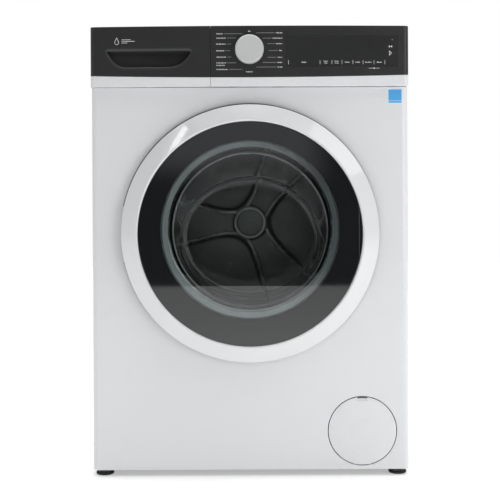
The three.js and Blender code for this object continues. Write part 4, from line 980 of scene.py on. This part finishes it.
class Print(Build):
    """Flat marks that lie on the fascia's bowed face."""

    rise = 0.06 * MM

    def mark(self, corners, tone=0):
        """A four-cornered mark, as points in X and Z."""
        points = [(x, bow(x) - self.rise, z) for x, z in corners]
        back = [(x, bow(x) + 0.02 * MM, z) for x, z in corners]
        self.loft([points, back], tone, (True, True))

    def bar(self, x0, x1, z0, z1):
        self.mark(rectangle(x0, x1, z0, z1))

    def line(self, a, b, width, tone=0):
        a, b = np.array(a, float), np.array(b, float)
        way = (b - a) / np.linalg.norm(b - a)
        out = np.array([-way[1], way[0]]) * width / 2
        self.mark([a - out, b - out, b + out, a + out], tone)

    def word(self, x, z, letters, seed, size, align=0.0):
        """A made-up word: strokes with no meaning. align is 0 for left, 0.5 for middle and 1 for right."""
        step, stem = size * 0.62, size * 0.24
        width = letters * step
        low, high, tall = z - size * 0.36, z + size * 0.2, z + size * 0.5
        for k in range(letters):
            kind = (seed * 7 + k * 5) % 4
            left = x - width * align + k * step
            self.bar(left, left + stem, low, tall if k == 0 or kind == 3 else high)
            if kind != 1:
                self.bar(left + step * 0.5, left + step * 0.5 + stem, low, high)
            if kind in (0, 2):
                self.bar(left, left + step * 0.6, low, low + stem)
            if kind in (0, 1):
                self.bar(left, left + step * 0.6, high - stem, high)
        return width


def fascia_print():
    """Printed marks round the knob and under the display. None of them is lettering."""
    marks = Print()
    left_rows = [(30.0, 4), (22.0, 6), (10.9, 6), (-1.6, 5), (-13.4, 6), (-24.2, 6), (-36.4, 7)]
    right_rows = [(31.4, 5), (21.5, 7), (11.2, 5), (-1.5, 3), (-14.2, 4), (-23.8, 4), (-32.4, 4)]
    reaches = [12.5, 25, 34, 36, 34, 25, 13]
    column, gap, shortest, thin, size = 61.5 * MM, 2.5 * MM, 1.5 * MM, 0.55 * MM, 2.4 * MM
    for side, rows in ((-1, left_rows), (1, right_rows)):
        for k, ((height, letters), reach) in enumerate(zip(rows, reaches)):
            z, far = KNOB_Z + height * MM, side * column
            count = letters * 2 if side < 0 else letters * 2 - 2
            width = marks.word(far, z, count, k + 3, size, 0 if side < 0 else 1)
            if side < 0 and k == 5:
                marks.word(far, z - 4.6 * MM, 11, 5, size)
            inner, knee = far - side * (width + gap), side * reach * MM
            if abs(inner) - abs(knee) < shortest:
                knee = inner - side * shortest
            marks.line((inner, z), (knee, z), thin, 1)
    for height, letters, seed in ((34.6, 3, 2), (-41.0, 8, 4)):
        marks.word(0, KNOB_Z + height * MM, letters, seed, size, 0.5)
    keys_z, half, small = 776.5 * MM, 3.8 * MM, 2.2 * MM
    fences = [72.5, 131.5, 153.6, 172.5, 193.0, 212.0, 232.5, 253.0]
    for x in fences:
        marks.bar(x * MM, (x + 0.6) * MM, keys_z - half, keys_z + half)
    for k, (a, b) in enumerate(zip(fences, fences[1:])):
        x = (a + b) / 2 * MM
        if k in (1, 2):
            marks.word(x, keys_z + 1.8 * MM, 6, k + 6, small, 0.5)
            marks.word(x, keys_z - 1.6 * MM, 5, k + 2, small, 0.5)
        else:
            marks.word(x, keys_z, 8 if k == 5 else 6, k + 4, size, 0.5)
    lock_x, lock_z = 233 * MM, 765.2 * MM
    for left, right, half in ((-10, -2.5, 0.3), (2.5, 10, 0.3), (-1.2, 1.2, 1.2)):
        marks.bar(lock_x + left * MM, lock_x + right * MM, lock_z - half * MM, lock_z + half * MM)
    x, dot = 264 * MM, 0.9 * MM
    marks.bar(x + 3 * MM, x + 3 * MM + dot, 818 * MM, 818 * MM + dot)
    for hand in (-1, 1):
        tip, side = (x, 806 * MM), x + hand * 3 * MM
        marks.mark([tip, (side, 808.4 * MM), (side, 803.6 * MM), tip])
    for end in (797 * MM, 790 * MM):
        marks.line((x - 1.6 * MM, end), (x + 2 * MM, 793.6 * MM), 0.9 * MM)
    marks.bar(x - 2.4 * MM, x - 1.5 * MM, 789 * MM, 798 * MM)
    marks.piece("fascia_marks", "cabinet", [PRINT, PRINT_DIM], slot="silver_plastic")
    badge = Print()
    x, z = -248 * MM, 818 * MM
    drop = [(x + 5.2 * MM * math.sin(t / 2) ** 1.6 * math.sin(t), z + 6.4 * MM * math.cos(t))
            for t in np.linspace(0, 2 * math.pi, 40, endpoint=False)]
    for a, b in zip(drop, drop[1:] + drop[:1]):
        badge.line(a, b, 0.8 * MM)
    for right, low in ((34, -1), (26, 2), (20, -4)):
        badge.bar(x + 9 * MM, x + right * MM, z + low * MM, z + (low + 0.8) * MM)
    badge.piece("drawer_badge", "drawer", PRINT, slot="silver_plastic")


def sticker():
    """A plain blue label on the front sheet, with a pale border and band."""
    x0, x1, z0, z1 = (v * MM for v in (261, 287, 701, 727.5))
    y = FRONT
    build = Build().soft_extrude(rectangle(x0, x1, z0, z1, 0.8 * MM), y - 0.12 * MM, y - 0.01 * MM,
                                 0.03 * MM, 1)
    border = 0.7 * MM
    for low, high in ((z0 + 5 * MM, z1 - border), (z0 + border, z0 + 4.2 * MM)):
        build.box(x0 + border, x1 - border, y - 0.17 * MM, y - 0.1 * MM, low, high)
    build.piece("front_label", "cabinet", [STICKER_BLUE, STICKER_PALE], slot="white_steel")


# ---------------------------------------------------------------- door

def hinge_way(x0, y0, y1):
    """The block cut out of the door's left edge, where the hinge is."""
    return Build().box(x0, -212 * MM, y0, y1, DOOR_Z - 52 * MM, DOOR_Z + 52 * MM)


def door_ring():
    """The white ring: a shallow cone between two fine bevels."""
    r, back, crown = DOOR_RADIUS, DOOR_BACK, DOOR_CROWN
    inner = 208.6 * MM
    shoulder = -256.6 * MM
    outside = [(r, back), (r, shoulder), (r - 1.1 * MM, shoulder - 1.1 * MM),
               (r - 2.6 * MM, shoulder - 2.1 * MM),
               (inner + 4.0 * MM, crown + 0.15 * MM), (inner + 2.8 * MM, crown),
               (inner + 1.3 * MM, crown + 0.5 * MM),
               (inner, crown + 1.8 * MM), (inner, -263 * MM)]
    inside = [(inner + 2.4 * MM, -263 * MM), (inner + 3.2 * MM, crown + 3.6 * MM),
              (r - 5.5 * MM, shoulder - 0.4 * MM),
              (r - 2.4 * MM, shoulder + 2.2 * MM), (r - 2.4 * MM, back)]
    profile = fillet(outside + inside, [0.3 * MM, 0.4 * MM, 0.25 * MM, 0.25 * MM, 0.3 * MM, 0.4 * MM,
                                        0.4 * MM,
                                        0.5 * MM, 0, 0, 0, 0, 0, 0], 3)
    ring = Build().revolve(profile, 256, (0, 0, DOOR_Z)).piece("door_ring_moulding", "door", RING_PLASTIC,
                                                               ["door_ring"], smooth=28)
    cut(ring, hinge_way(-r - 5 * MM, -256.5 * MM, back + 5 * MM))


def door_gap_shade_ring():
    """A dark ring behind the white ring: painted shadow of the gap between the ring and the front sheet, seen as
    a thin line round it. It is set a little left and up, so that the line is thicker there.
    """
    y0, y1 = DOOR_BACK + 0.1 * MM, FRONT - 0.6 * MM
    profile = [(238 * MM, y0), (243.3 * MM, y0), (243.7 * MM, (y0 + y1) / 2), (243.3 * MM, y1),
               (238 * MM, y1)]
    ring = Build().revolve(profile, 256, (-0.5 * MM, 0, DOOR_Z + 0.5 * MM)).piece("door_gap_shade", "door",
                                                                                  GAP_SHADE_BLACK,
                                                                                  slot="dark_plastic")
    cut(ring, hinge_way(-250 * MM, y0 - 5 * MM, y1 + 5 * MM))


def door_cover():
    """One flat gloss disc: black round its rim and smoked over the bowl, cut back for the fingers."""
    radius, front, back = 208 * MM, -276.5 * MM, -273.5 * MM
    edge_round, chord, window = 0.5 * MM, 202 * MM, 166 * MM
    turns = full_turn(192)

    def rim(inset, y):
        """A loop near the edge, which is cut straight at the grip."""
        r = radius - inset
        return [(min(r * math.cos(a), chord - inset), y, DOOR_Z + r * math.sin(a)) for a in turns]

    def opening(r, y):
        return [(r * math.cos(a), y, DRUM_Z + r * math.sin(a)) for a in turns]

    bevel = 0.15 * MM
    build = Build().loft([opening(window, back), rim(0, back)])
    build.loft([rim(0, back), rim(0, front + edge_round), rim(bevel, front + bevel), rim(edge_round, front),
                rim(edge_round + 0.6 * MM, front), opening(window, front)])
    for y in (front, back):
        build.loft([opening(window, y), opening(window * 0.5, y)], 1, (False, True))
    build.piece("door_cover_pane", "door", [BLACK_GLOSS, SMOKED_GLASS], ["door_cover"], smooth=25)
    # The finger grip's pocket is lined in the darker charcoal: painted shade in the recess.
    pocket = Build()
    grip, floor_y, top_y, inner_x = 208.3 * MM, -262.8 * MM, -274 * MM, 196 * MM
    half_angle = math.asin(math.sqrt(radius ** 2 - chord ** 2) / (208.4 * MM)) * 1.25
    arc = [(grip * math.cos(a), DOOR_Z + grip * math.sin(a)) for a in np.linspace(-1, 1, 25) * half_angle]
    inner_edge = [(inner_x, floor_y, z) for x, z in arc]
    pocket.loft([[(x, floor_y, z) for x, z in arc], inner_edge], ring=False)
    pocket.loft([[(inner_x, top_y, z) for x, z in arc], inner_edge], ring=False)
    pocket.piece("door_grip_liner", "door", SHADED_CHARCOAL, slot="charcoal_plastic", sheet=0.8 * MM,
                 facing=FORWARDS)


def bowl_section(t):
    """Half width, half height, middle and depth of the bowl at t, from its mouth at 0 to its end at 1."""
    half, centre = 147.5 * MM, DRUM_Z - 15.5 * MM * smoothstep(t)
    return half - 14.5 * MM * t, half - 33 * MM * t, centre, -258 * MM + 98 * MM * t


def door_bowl():
    """The glass bowl, whose end is wider than high and sits low, so that its top slopes."""
    turns = full_turn(128)
    half_wall = 2.5 * MM

    def ring(half_x, half_z, centre, y):
        return [(half_x * math.cos(a), y, centre + half_z * math.sin(a)) for a in turns]

    def surface_loops(grow, corner, deep, shares, lift):
        """Loops down the wall, round the corner and over the end. The first one is lifted to the mouth."""
        loops = []
        for t in np.linspace(0.0, 1.0, 15):
            half_x, half_z, centre, y = bowl_section(t)
            loops.append(ring(half_x + grow, half_z + grow, centre, y - lift if t == 0 else y))
        for a in np.linspace(0, math.pi / 2, 9)[1:]:
            less = grow - corner * (1 - math.cos(a))
            loops.append(ring(half_x + less, half_z + less, centre, y + deep * math.sin(a)))
        for share, push in shares:
            loops.append(ring(half_x * share, half_z * share, centre, y + deep + push * MM))
        return loops

    flange = [(BOWL_FLANGE, -263.2 * MM), (BOWL_FLANGE, -259 * MM), (BOWL_FLANGE - 1 * MM, -258 * MM)]
    outer = [ring(r, r, DRUM_Z, y) for r, y in flange]
    outer += surface_loops(half_wall, 13 * MM, 12 * MM, ((0.75, 1.2), (0.45, 1.8), (0.15, 2.0)), 0)
    inner = surface_loops(-half_wall, 10 * MM, 7.5 * MM, ((0.7, 1.2), (0.4, 1.8), (0.12, 2.0)), 5.5 * MM)
    build = Build().loft(outer, caps=(False, True))
    build.loft(inner, caps=(False, True))
    build.loft([outer[0], inner[0]])
    build.piece("door_bowl_glass", "door", BOWL_GLASS, ["door_bowl"], smooth=40)
    # Thin pale rings at the bowl's end and mouth: painted highlight lines where the glass bends.
    bead = Build()
    for share, thick in ((1.0, 0.55 * MM), (0.0, 0.5 * MM)):
        half_x, half_z, centre, y = bowl_section(share)
        line = ring(half_x - 3 * MM, half_z - 3 * MM, centre, y - 0.8 * MM)
        bead.tube([*line, line[0]], thick, 8, caps=False)
    bead.piece("bowl_highlight_line", "door", BOWL_GLINT, slot="clear_glass")


def door_frame():
    """The inner frame, with its screws, ribs and the collar that clamps the bowl."""
    back, front, fine = DOOR_BACK, DOOR_BACK - 3 * MM, 160
    hook_low, hook_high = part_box("door_hook")
    slot = rectangle(194 * MM, 214 * MM, hook_low.z - 1 * MM, hook_high.z + 1 * MM, 1.5 * MM)
    build = Build()
    outer, inner = circle(236 * MM, fine, 0, DOOR_Z), circle(175 * MM, fine, 0, DRUM_Z)
    for y in (back, front):
        build.plate(outer, [inner, slot], y)
    for outline in (outer, inner, slot):
        build.loft([[(x, y, z) for x, z in outline] for y in (back, front)])
    plate = build.piece("door_frame_plate", "door", GREY_PLASTIC, slot="grey_plastic", smooth=30)
    cut(plate, hinge_way(-250 * MM, -256.5 * MM, back + 5 * MM))
    lip, deep, foot = back + 0.2 * MM, -272 * MM, -257.6 * MM
    collar = [(154.5, front), (158, lip), (172, lip), (175.5, back - 1 * MM), (175.5, front), (171, front),
              (171, deep), (168, deep), (168, foot), (154.5, foot)]
    build = Build().revolve(fillet([(r * MM, y) for r, y in collar], 1.2 * MM, 3), fine, (0, 0, DRUM_Z))
    build.piece("door_frame_collar", "door", GREY_PLASTIC, ["door_frame"], smooth=30)
    ribs = Build()
    rib_y = back + 0.1 * MM
    for k in range(36):
        a = 2 * math.pi * (k + 0.5) / 36
        if abs(a - math.pi) < 0.35 or a < 0.28 or a > 2 * math.pi - 0.28:
            continue
        ends = [(r * math.cos(a), rib_y, z + r * math.sin(a)) for r,
                z in ((181 * MM, DRUM_Z), (224 * MM, DOOR_Z))]
        ribs.tube(ends, 0.7 * MM, 8)
    ribs.piece("door_frame_ribs", "door", GREY_PLASTIC, slot="grey_plastic")
    heads = Build()
    for x, z in circle(230 * MM, 8, 0, DOOR_Z, math.pi / 8):
        screw(heads, (x, back, z), (0, 1, 0), 3.2 * MM)
    for z in (DOOR_Z - 14 * MM, DOOR_Z + 14 * MM):
        screw(heads, (-190 * MM, edge("hinge_leaf", "y", 0) + 0.1 * MM, z), FORWARDS, 3 * MM)
    heads.piece("door_screws", "door", SCREW_STEEL, slot="bright_steel", smooth=30)
    seat = scaled((157.5, -257.5), (157.5, -257.0), (167.6, -257.0), (167.6, -272.4), (166.2, -272.4),
                  (165.4, -257.5))
    Build().revolve(seat, fine, (0, 0, DRUM_Z)).piece("bowl_seat", "door", SEAT_RUBBER, slot="grey_rubber")


def gasket():
    """The bellows seal, which stretches between the panel's lip and the tub's mouth."""
    profile = scaled((158, -241.2), (163, -241.6), (169, -240.6), (170.2, -237), (170.2, -226), (168, -221),
                     (164, -217.5),
               (162.2, -214), (164, -210), (168.5, -206.5), (170, -202), (170, -185), (167.2, -184.4),
                     (166.8, -199),
               (164.5, -204), (158.5, -209), (156.6, -214), (158.8, -219), (164.5, -223.5), (166.4, -228),
                     (166.2, -235),
               (164, -237.2), (158.4, -238.4))
    smooth = fillet(profile, 2.2 * MM, 4)
    piece = Build().revolve(smooth, 160, (0, 0, DRUM_Z)).piece("gasket_bellows", None, GREY_RUBBER,
                                                               smooth=60, ride=False)
    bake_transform(piece)
    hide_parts("door_gasket")
    clamp = scaled((170.4, -239.6), (170.4, -236.4), (171.0, -236.4), (171.0, -239.6))
    Build().revolve(fillet(clamp, 0.15 * MM, 2), 128, (0, 0, DRUM_Z)).piece(
        "gasket_clamp", "cabinet", SCREW_STEEL, slot="bright_steel")


# ---------------------------------------------------------------- drum

def perforated(build, radius, y0, y1, columns, rows, hole):
    """A cylinder wall of square cells in staggered rows, each with a round hole in it."""
    step_a, step_y = 2 * math.pi / columns, (y1 - y0) / rows
    hole_a = hole / (radius * step_a) * step_a

    def at(a, y):
        return (radius * math.sin(a), y, DRUM_Z + radius * math.cos(a))

    spokes = [(math.cos(k * math.pi / 4), math.sin(k * math.pi / 4)) for k in range(8)]
    for row in range(rows):
        y = y0 + (row + 0.5) * step_y
        for column in range(columns):
            a = (column + (0.5 if row % 2 else 0.0)) * step_a
            cell = [(c * 0.5 / max(abs(c), abs(s)), s * 0.5 / max(abs(c), abs(s))) for c, s in spokes]
            build.loft([[at(a + c * step_a, y + s * step_y) for c, s in cell],
                        [at(a + c * hole_a, y + s * hole) for c, s in spokes]])


def drum_height(x, z):
    """How far the pressed back stands forwards at a place, and how near that is to a raised bead or the hub's
    rim; drum() paints the faces near them with a highlight.
    """
    r = np.hypot(x, z)
    turn = np.degrees(np.arctan2(x, z))
    arm = (turn + 90) % 120
    mid = np.radians(np.minimum(arm, 120 - arm))
    other = np.radians(120 - np.minimum(arm, 120 - arm))
    near, far = r * np.sin(mid), r * np.sin(other)
    soft = 55 * MM
    blend = np.clip(0.5 + 0.5 * (far - near) / soft, 0, 1)
    nearest = far * (1 - blend) + near * blend - soft * blend * (1 - blend)
    inside = nearest - (12 * MM + 0.25 * r)
    petal = smoothstep(inside / (9 * MM) + 0.5) * smoothstep((214 * MM - r) / (9 * MM) + 0.5)
    hub = smoothstep((37 * MM - r) / (5 * MM) + 0.5)
    bead = np.exp(-((inside + 4 * MM) / (2.8 * MM)) ** 2) * smoothstep((206 * MM - r) / (9 * MM) + 0.5)
    rim = np.exp(-((r - 33 * MM) / (3.2 * MM)) ** 2)
    return 8 * MM * (1 - petal) + 5 * MM * hub + 3 * MM * np.maximum(bead, rim), np.maximum(bead, rim)


def drum():
    """The drum: a perforated wall, a rolled mouth and a back pressed into three arms."""
    inner, mouth = DRUM_RADIUS - 1 * MM, 158 * MM
    front, back = DRUM_FRONT, DRUM_BACK
    columns, rows, hole = 108, 19, 2.3 * MM
    holes_front, holes_back = front + 24 * MM, back - 20 * MM
    build = Build()
    perforated(build, inner, holes_front, holes_back, columns, rows, hole)
    turns = [(k / 2) * 2 * math.pi / columns for k in range(2 * columns)]
    for ends in ((front + 12 * MM, holes_front), (holes_back, back - 12 * MM)):
        build.loft([[(inner * math.sin(a), y, DRUM_Z + inner * math.cos(a)) for a in turns] for y in ends])
    shoulder = [(inner, front + 12 * MM), (inner - 3 * MM, front + 4 * MM),
                (inner - 12 * MM, front + 1 * MM),
                (mouth + 8 * MM, front + 3 * MM), (mouth + 3 * MM, front + 4 * MM), (mouth, front + 8 * MM),
                (mouth, front + 13 * MM)]
    build.revolve(fillet(shoulder, 3 * MM, 5, False), 2 * columns, (0, 0, DRUM_Z), closed=False)
    build.piece("drum_wall", "drum", STAINLESS, ["drum_shell"], sheet=0.7 * MM, facing=(0, 0, 1), smooth=30)
    pressed_radius, fade, turns = 0.229, 0.011, full_turn(288)
    loops = []
    for r in np.concatenate([np.linspace(0.004, 0.218, 100), [0.222, 0.226, pressed_radius]]):
        x, z = r * np.sin(turns), r * np.cos(turns)
        rise = drum_height(x, z)[0] * min(1.0, (pressed_radius - r) / fade)
        loops.append([(a, back - 1 * MM - h, DRUM_Z + b) for a, b, h in zip(x, z, rise)])
    for r, lift in ((0.2325, 1.6), (0.2365, 4.4), (0.2385, 8.5), (0.239, 12)):
        loops.append([(r * math.sin(a), back - (1 + lift) * MM, DRUM_Z + r * math.cos(a)) for a in turns])
    disc = Build().loft(loops, caps=(True, False))
    # Faces on the beads and the hub's rim get the bright steel: painted highlight on the pressed edges.
    for i, face in enumerate(disc.faces):
        x, _, z = np.mean([disc.verts[corner] for corner in face], axis=0)
        if drum_height(x, z - DRUM_Z)[1] > 0.3:
            disc.marks[i] = 1
    disc.piece("drum_back", "drum", [DRUM_BACK_STEEL, DRUM_HIGHLIGHT_STEEL], slot="bright_steel", sheet=0.6 * MM,
               facing=FORWARDS, smooth=60)


def lifter(index, node):
    """A paddle with rounded ends and softly flared sides."""
    angle = -2 * math.pi * index / 3
    turn_c, turn_s = math.cos(angle), math.sin(angle)
    seat, tip = DRUM_RADIUS - 2.9 * MM, 197 * MM
    y0, y1 = DRUM_FRONT + 16 * MM, DRUM_BACK - 16 * MM
    loops = []
    for t in np.linspace(0, 1, 25):
        swell = max(math.sin(math.pi * t), 0.0) ** 0.28
        high, wide = (seat - tip) * max(swell, 0.02), 30 * MM * max(swell, 0.15)
        section = []
        for s in np.linspace(-1, 1, 25):
            crest = math.exp(-(s / 0.42) ** 2 * 1.3) * min(1.0, float(smoothstep(1 - abs(s))) * 3)
            section.append((s * wide, seat - high * crest))
        section += [(x, math.sqrt(max(seat ** 2 - x ** 2, 0)) + 0.6 * MM) for x, _ in section[::-1]]
        y = y0 + (y1 - y0) * t
        loops.append([(x * turn_c - z * turn_s, y, DRUM_Z + x * turn_s + z * turn_c) for x, z in section])
    Build().loft(loops, caps=(True, True)).piece(node + "_paddle", "drum", GREY_PLASTIC, [node], smooth=50)


# ---------------------------------------------------------------- springs and hoses

def spring(name, node):
    """A close coil between two hooked ends, which stretches between the tub and the cabinet."""
    low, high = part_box(node)
    x, y = middle(node, "x"), middle(node, "y")
    radius, wire = 10 * MM, 1.6 * MM
    coils, per_turn = 13, 20
    bottom, top = low.z + 20 * MM, high.z - 20 * MM
    points = [(x, y, low.z - 6 * MM), (x, y, low.z + 4 * MM), (x + radius * 0.5, y, low.z + 14 * MM)]
    for k in range(coils * per_turn + 1):
        a = 2 * math.pi * k / per_turn
        z = bottom + (top - bottom) * k / (coils * per_turn)
        points.append((x + radius * math.cos(a), y + radius * math.sin(a), z))
    points += [(x + radius * 0.5, y, high.z - 12 * MM), (x, y, high.z - 3 * MM), (x, y, high.z + 2 * MM)]
    piece = Build().tube(points, wire, 10).piece(name, None, SPRING_STEEL, smooth=60, ride=False)
    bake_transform(piece)
    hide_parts(node)


def smooth_path(points, steps):
    """A Catmull-Rom curve through the points."""
    p = np.array([2 * np.array(points[0]) - np.array(points[1]), *points,
                  2 * np.array(points[-1]) - np.array(points[-2])])
    out = []
    for i in range(1, len(p) - 2):
        for t in np.linspace(0, 1, steps, endpoint=False):
            a, b, c, d = p[i - 1:i + 3]
            out.append(0.5 * (2 * b + (c - a) * t + (2 * a - 5 * b + 4 * c - d) * t ** 2
                              + (3 * b - a - 3 * c + d) * t ** 3))
    out.append(p[-2])
    return out


def around_drum(radius, degrees, y):
    a = math.radians(degrees)
    return (radius * math.sin(a), y, DRUM_Z + radius * math.cos(a))


def hose(name, node, points, radius, material, start, end):
    """A corrugated hose between the cabinet and the tub."""
    path = smooth_path(points, 22)
    radii = []
    for k in range(len(path)):
        plain = k < 10 or k > len(path) - 11
        radii.append(radius if plain else radius * (0.94 + 0.09 * math.cos(k * math.pi / 2)))
    piece = Build().tube(path, radius, 20, radii=radii).piece(name, None, material, smooth=70, ride=False)
    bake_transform(piece)
    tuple(start)
    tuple(end)
    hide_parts(node)


def hoses():
    housing = edge("drawer_housing", "z", 0)
    fill = [(-150 * MM, 40 * MM, housing - 1 * MM), (-150 * MM, 40 * MM, 734 * MM),
            (-146 * MM, 42 * MM, 723 * MM),
            around_drum(274 * MM, -28.5, 45 * MM), around_drum(264 * MM, -28.5, 45 * MM)]
    hose("fill_bellows", "fill_hose", fill, 11.5 * MM, GREY_RUBBER, fill[0], fill[-1])
    pump_top = edge("sump_hose", "z", 0)
    sump = [around_drum(264 * MM, 160, -120 * MM), around_drum(278 * MM, 160, -120 * MM),
            (145 * MM, -135 * MM, 172 * MM),
            (190 * MM, -150 * MM, 166 * MM), (FILTER_X, -155 * MM, 145 * MM),
            (FILTER_X, -155 * MM, pump_top)]
    hose("sump_bellows", "sump_hose", sump, 13.5 * MM, BLACK_RUBBER, sump[0], sump[-1])


# ---------------------------------------------------------------- filter

def filter_cover():
    """The round cover, with a fine bevel, a slot to pry it by and two hinge lugs."""
    radius, front, back = 63.8 * MM, FRONT - 0.5 * MM, FRONT + 1.3 * MM
    fine, rim = 128, 0.7 * MM
    slot_z, slot_half, slot_high, slot_bend = FILTER_Z + radius - 5.0 * MM, 10.5 * MM, 1.3 * MM, 0.9 * MM
    slot = [(FILTER_X + t * slot_half, slot_z + side * slot_high - slot_bend * t * t)
            for side in (-1, 1) for t in np.linspace(side, -side, 17)]
    build = Build().plate(circle(radius - rim, fine, FILTER_X, FILTER_Z), [slot], front)
    side = [(radius - inset, front + rise) for inset, rise in quarter(rim, 5)]
    build.revolve(side + [(radius, back), (0, back)], fine, (FILTER_X, 0, FILTER_Z), closed=False)
    build.loft([[(x, y, z) for x, z in slot] for y in (front, front + 1.4 * MM)], caps=(False, True))
    for hand in (-1, 1):
        x = FILTER_X + hand * 13 * MM
        build.box(x - 3 * MM, x + 3 * MM, back, FRONT + 7.4 * MM, 21 * MM, 30 * MM)
    build.piece("filter_cover_disc", "filter_flap", WHITE_PLASTIC, ["filter_cover"], smooth=30)
    # A dark arc along the top of the pry slot: painted shade in the slot.
    arc = np.radians(np.linspace(81.5, 98.5, 17))
    outline = [(FILTER_X + r * math.cos(a), FILTER_Z + r * math.sin(a))
               for r, run in ((radius - 0.2 * MM, arc), (radius - 2.3 * MM, arc[::-1])) for a in run]
    slot_shade = Build().extrude(outline, front - 0.06 * MM, front + 0.3 * MM)
    slot_shade.piece("filter_slot_shade", "filter_flap", GAP_SHADE_BLACK, slot="dark_plastic")


def filter_cap():
    """The pump's cap: a ribbed rim, a dished face and a bar to turn it by."""
    low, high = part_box("filter_cap")
    radius = (high.z - low.z) / 2
    build = Build()
    profile = scaled((0, -233.2), (14, -233.4), (27, -232.8), (31, -231.6), (35, -231.6), (38.4, -231.2),
                     (40, -229.6), (40, -226.4),
               (35, -226.4), (35, -201), (0, -201))
    build.revolve([(min(r, radius), y) for r, y in profile], 120, (FILTER_X, 0, FILTER_Z))
    bar = rectangle(FILTER_X - 28 * MM, FILTER_X + 28 * MM, FILTER_Z - 4 * MM, FILTER_Z + 4 * MM, 3 * MM)
    build.soft_extrude(bar, low.y, -231 * MM, 1.2 * MM)
    build.piece("filter_cap_detail", "filter_plug", GREY_PLASTIC, ["filter_cap"], smooth=30)


# ---------------------------------------------------------------- studio

def studio():
    """The camera, a pale floor, soft lamps and a plain studio around them."""
    scene = bpy.context.scene
    scene.view_settings.view_transform = "Standard"
    camera = bpy.data.objects.new("camera", bpy.data.cameras.new("camera"))
    scene.collection.objects.link(camera)
    distance, eye, roll = 1.96, 0.545, math.radians(0.27)
    camera.location = (0.0, FRONT - distance, eye)
    camera.rotation_euler = (math.pi / 2, roll, 0)
    camera.data.lens, camera.data.sensor_width, camera.data.shift_y = 74.9, 36, -0.1268
    scene.camera = camera
    mesh = bpy.data.meshes.new("floor")
    mesh.from_pydata([(x, y, 0) for x, y in rectangle(-5, 5, -4.05, 5)], [], [(0, 1, 2, 3)])
    mesh.materials.append(surface("floor_pale", (0.80, 0.80, 0.80), 0.6, vary=0.01, patch=1, grain=60,
                                  bump=0,
                                  emission_color=(1, 1, 1, 1), emission_strength=0.4))
    floor = bpy.data.objects.new("floor", mesh)
    scene.collection.objects.link(floor)
    for lit in (("overhead", (1.27, -1.1, 2.25), (1.27, -1.1, 0), 4.46, 1.4, 10),
                ("overhead_right", (2.3, -1.1, 2.24), (2.3, -1.1, 0), 2.4, 1.4, 12),
                ("streak", (-1.62, -1.04, 2.25), (-0.6, -0.6, 0.5), 0.1, 0.9, 1.5),
                ("key", (1.9, -2.2, 0.9), (0, -0.2, 0.5), 1.1, 1.4, 12),
                ("fill", (-2.3, -2.7, 0.9), (0, -0.2, 0.5), 1.1, 1.4, 1.0),
                ("back", (0.0, 3.0, 2.2), (0, 0.2, 0.4), 2.2, 1.4, 10),
                ("floor_wash", (0, -1.35, 2.6), (0, -1.35, 0), 4.0, 2.0, 5, 40)):
        lamp(*lit)
    scene.world = bpy.data.worlds.new("studio")
    scene.world.use_nodes = True
    scene.world.node_tree.nodes.clear()
    surroundings(Nodes(scene.world.node_tree))


def surroundings(g):
    """White to the camera. To the lamps' light it is a soft room, dark in front with a lit gap."""
    where = g.node("ShaderNodeTexCoord").outputs["Generated"]
    side_way, front_way, up_way = g.node("ShaderNodeSeparateXYZ", {0: where}).outputs

    def ramp(value, start, end, low, high):
        return g.spread(value, low, high, start, end, "SMOOTHSTEP")

    high_behind = g.math("MULTIPLY", ramp(front_way, -0.05, 0.25, 0, 1), ramp(up_way, 0.4, 0.75, 0, 1))
    behind = g.math("ADD", 0.42, g.math("MULTIPLY", high_behind, 1.5))
    in_front = ramp(front_way, -0.75, -0.6, 1, 0)
    apart = g.math("MAXIMUM", ramp(side_way, 0.045, 0.085, 0, 1), ramp(side_way, -0.14, -0.06, 0.82, 0))
    low_band, low_enough = ramp(up_way, 0.0, 0.035, 1, 0), ramp(up_way, 0.3, 0.45, 1, 0)
    dark = g.math("MULTIPLY", g.math("MULTIPLY", in_front, low_enough), g.math("MAXIMUM", apart, low_band))
    level = g.math("MULTIPLY", g.math("ADD", behind, g.math("MULTIPLY", in_front, 0.06)),
                   g.math("SUBTRACT", 1.0, g.math("MULTIPLY", dark, 0.94)))
    light = g.node("ShaderNodeBackground", {"Color": (0.97, 0.985, 1, 1), "Strength": level}).outputs[0]
    shown = g.node("ShaderNodeBackground", {"Color": (1, 1, 1, 1), "Strength": 1.0}).outputs[0]
    camera_ray = g.node("ShaderNodeLightPath").outputs["Is Camera Ray"]
    g.node("ShaderNodeOutputWorld", {0: g.mix_shaders(camera_ray, light, shown)})


def lamp(name, place, target, width, height, power, spread=180):
    data = bpy.data.lights.new(name, "AREA")
    data.shape, data.size, data.size_y, data.energy = "RECTANGLE", width, height, power
    data.spread = math.radians(spread)
    light = bpy.data.objects.new(name, data)
    light.location = place
    light.rotation_euler = (Vector(target) - Vector(place)).to_track_quat("-Z", "Y").to_euler()
    bpy.context.scene.collection.objects.link(light)


studio()
dress_frame()
front_sheet()
side_sheet(-1, "side_sheet_left", "side_panel_left")
side_sheet(1, "side_sheet_right", "side_panel_right")
worktop()
rear()
feet()
fascia()
drawer()
knob()
fascia_print()
sticker()
door_ring()
door_gap_shade_ring()
door_cover()
door_bowl()
door_frame()
gasket()
drum()
for number in range(3):
    lifter(number, f"drum_lifter_{number + 1}")
spring("spring_coil_left", "spring_left")
spring("spring_coil_right", "spring_right")
hoses()
filter_cover()
filter_cap()
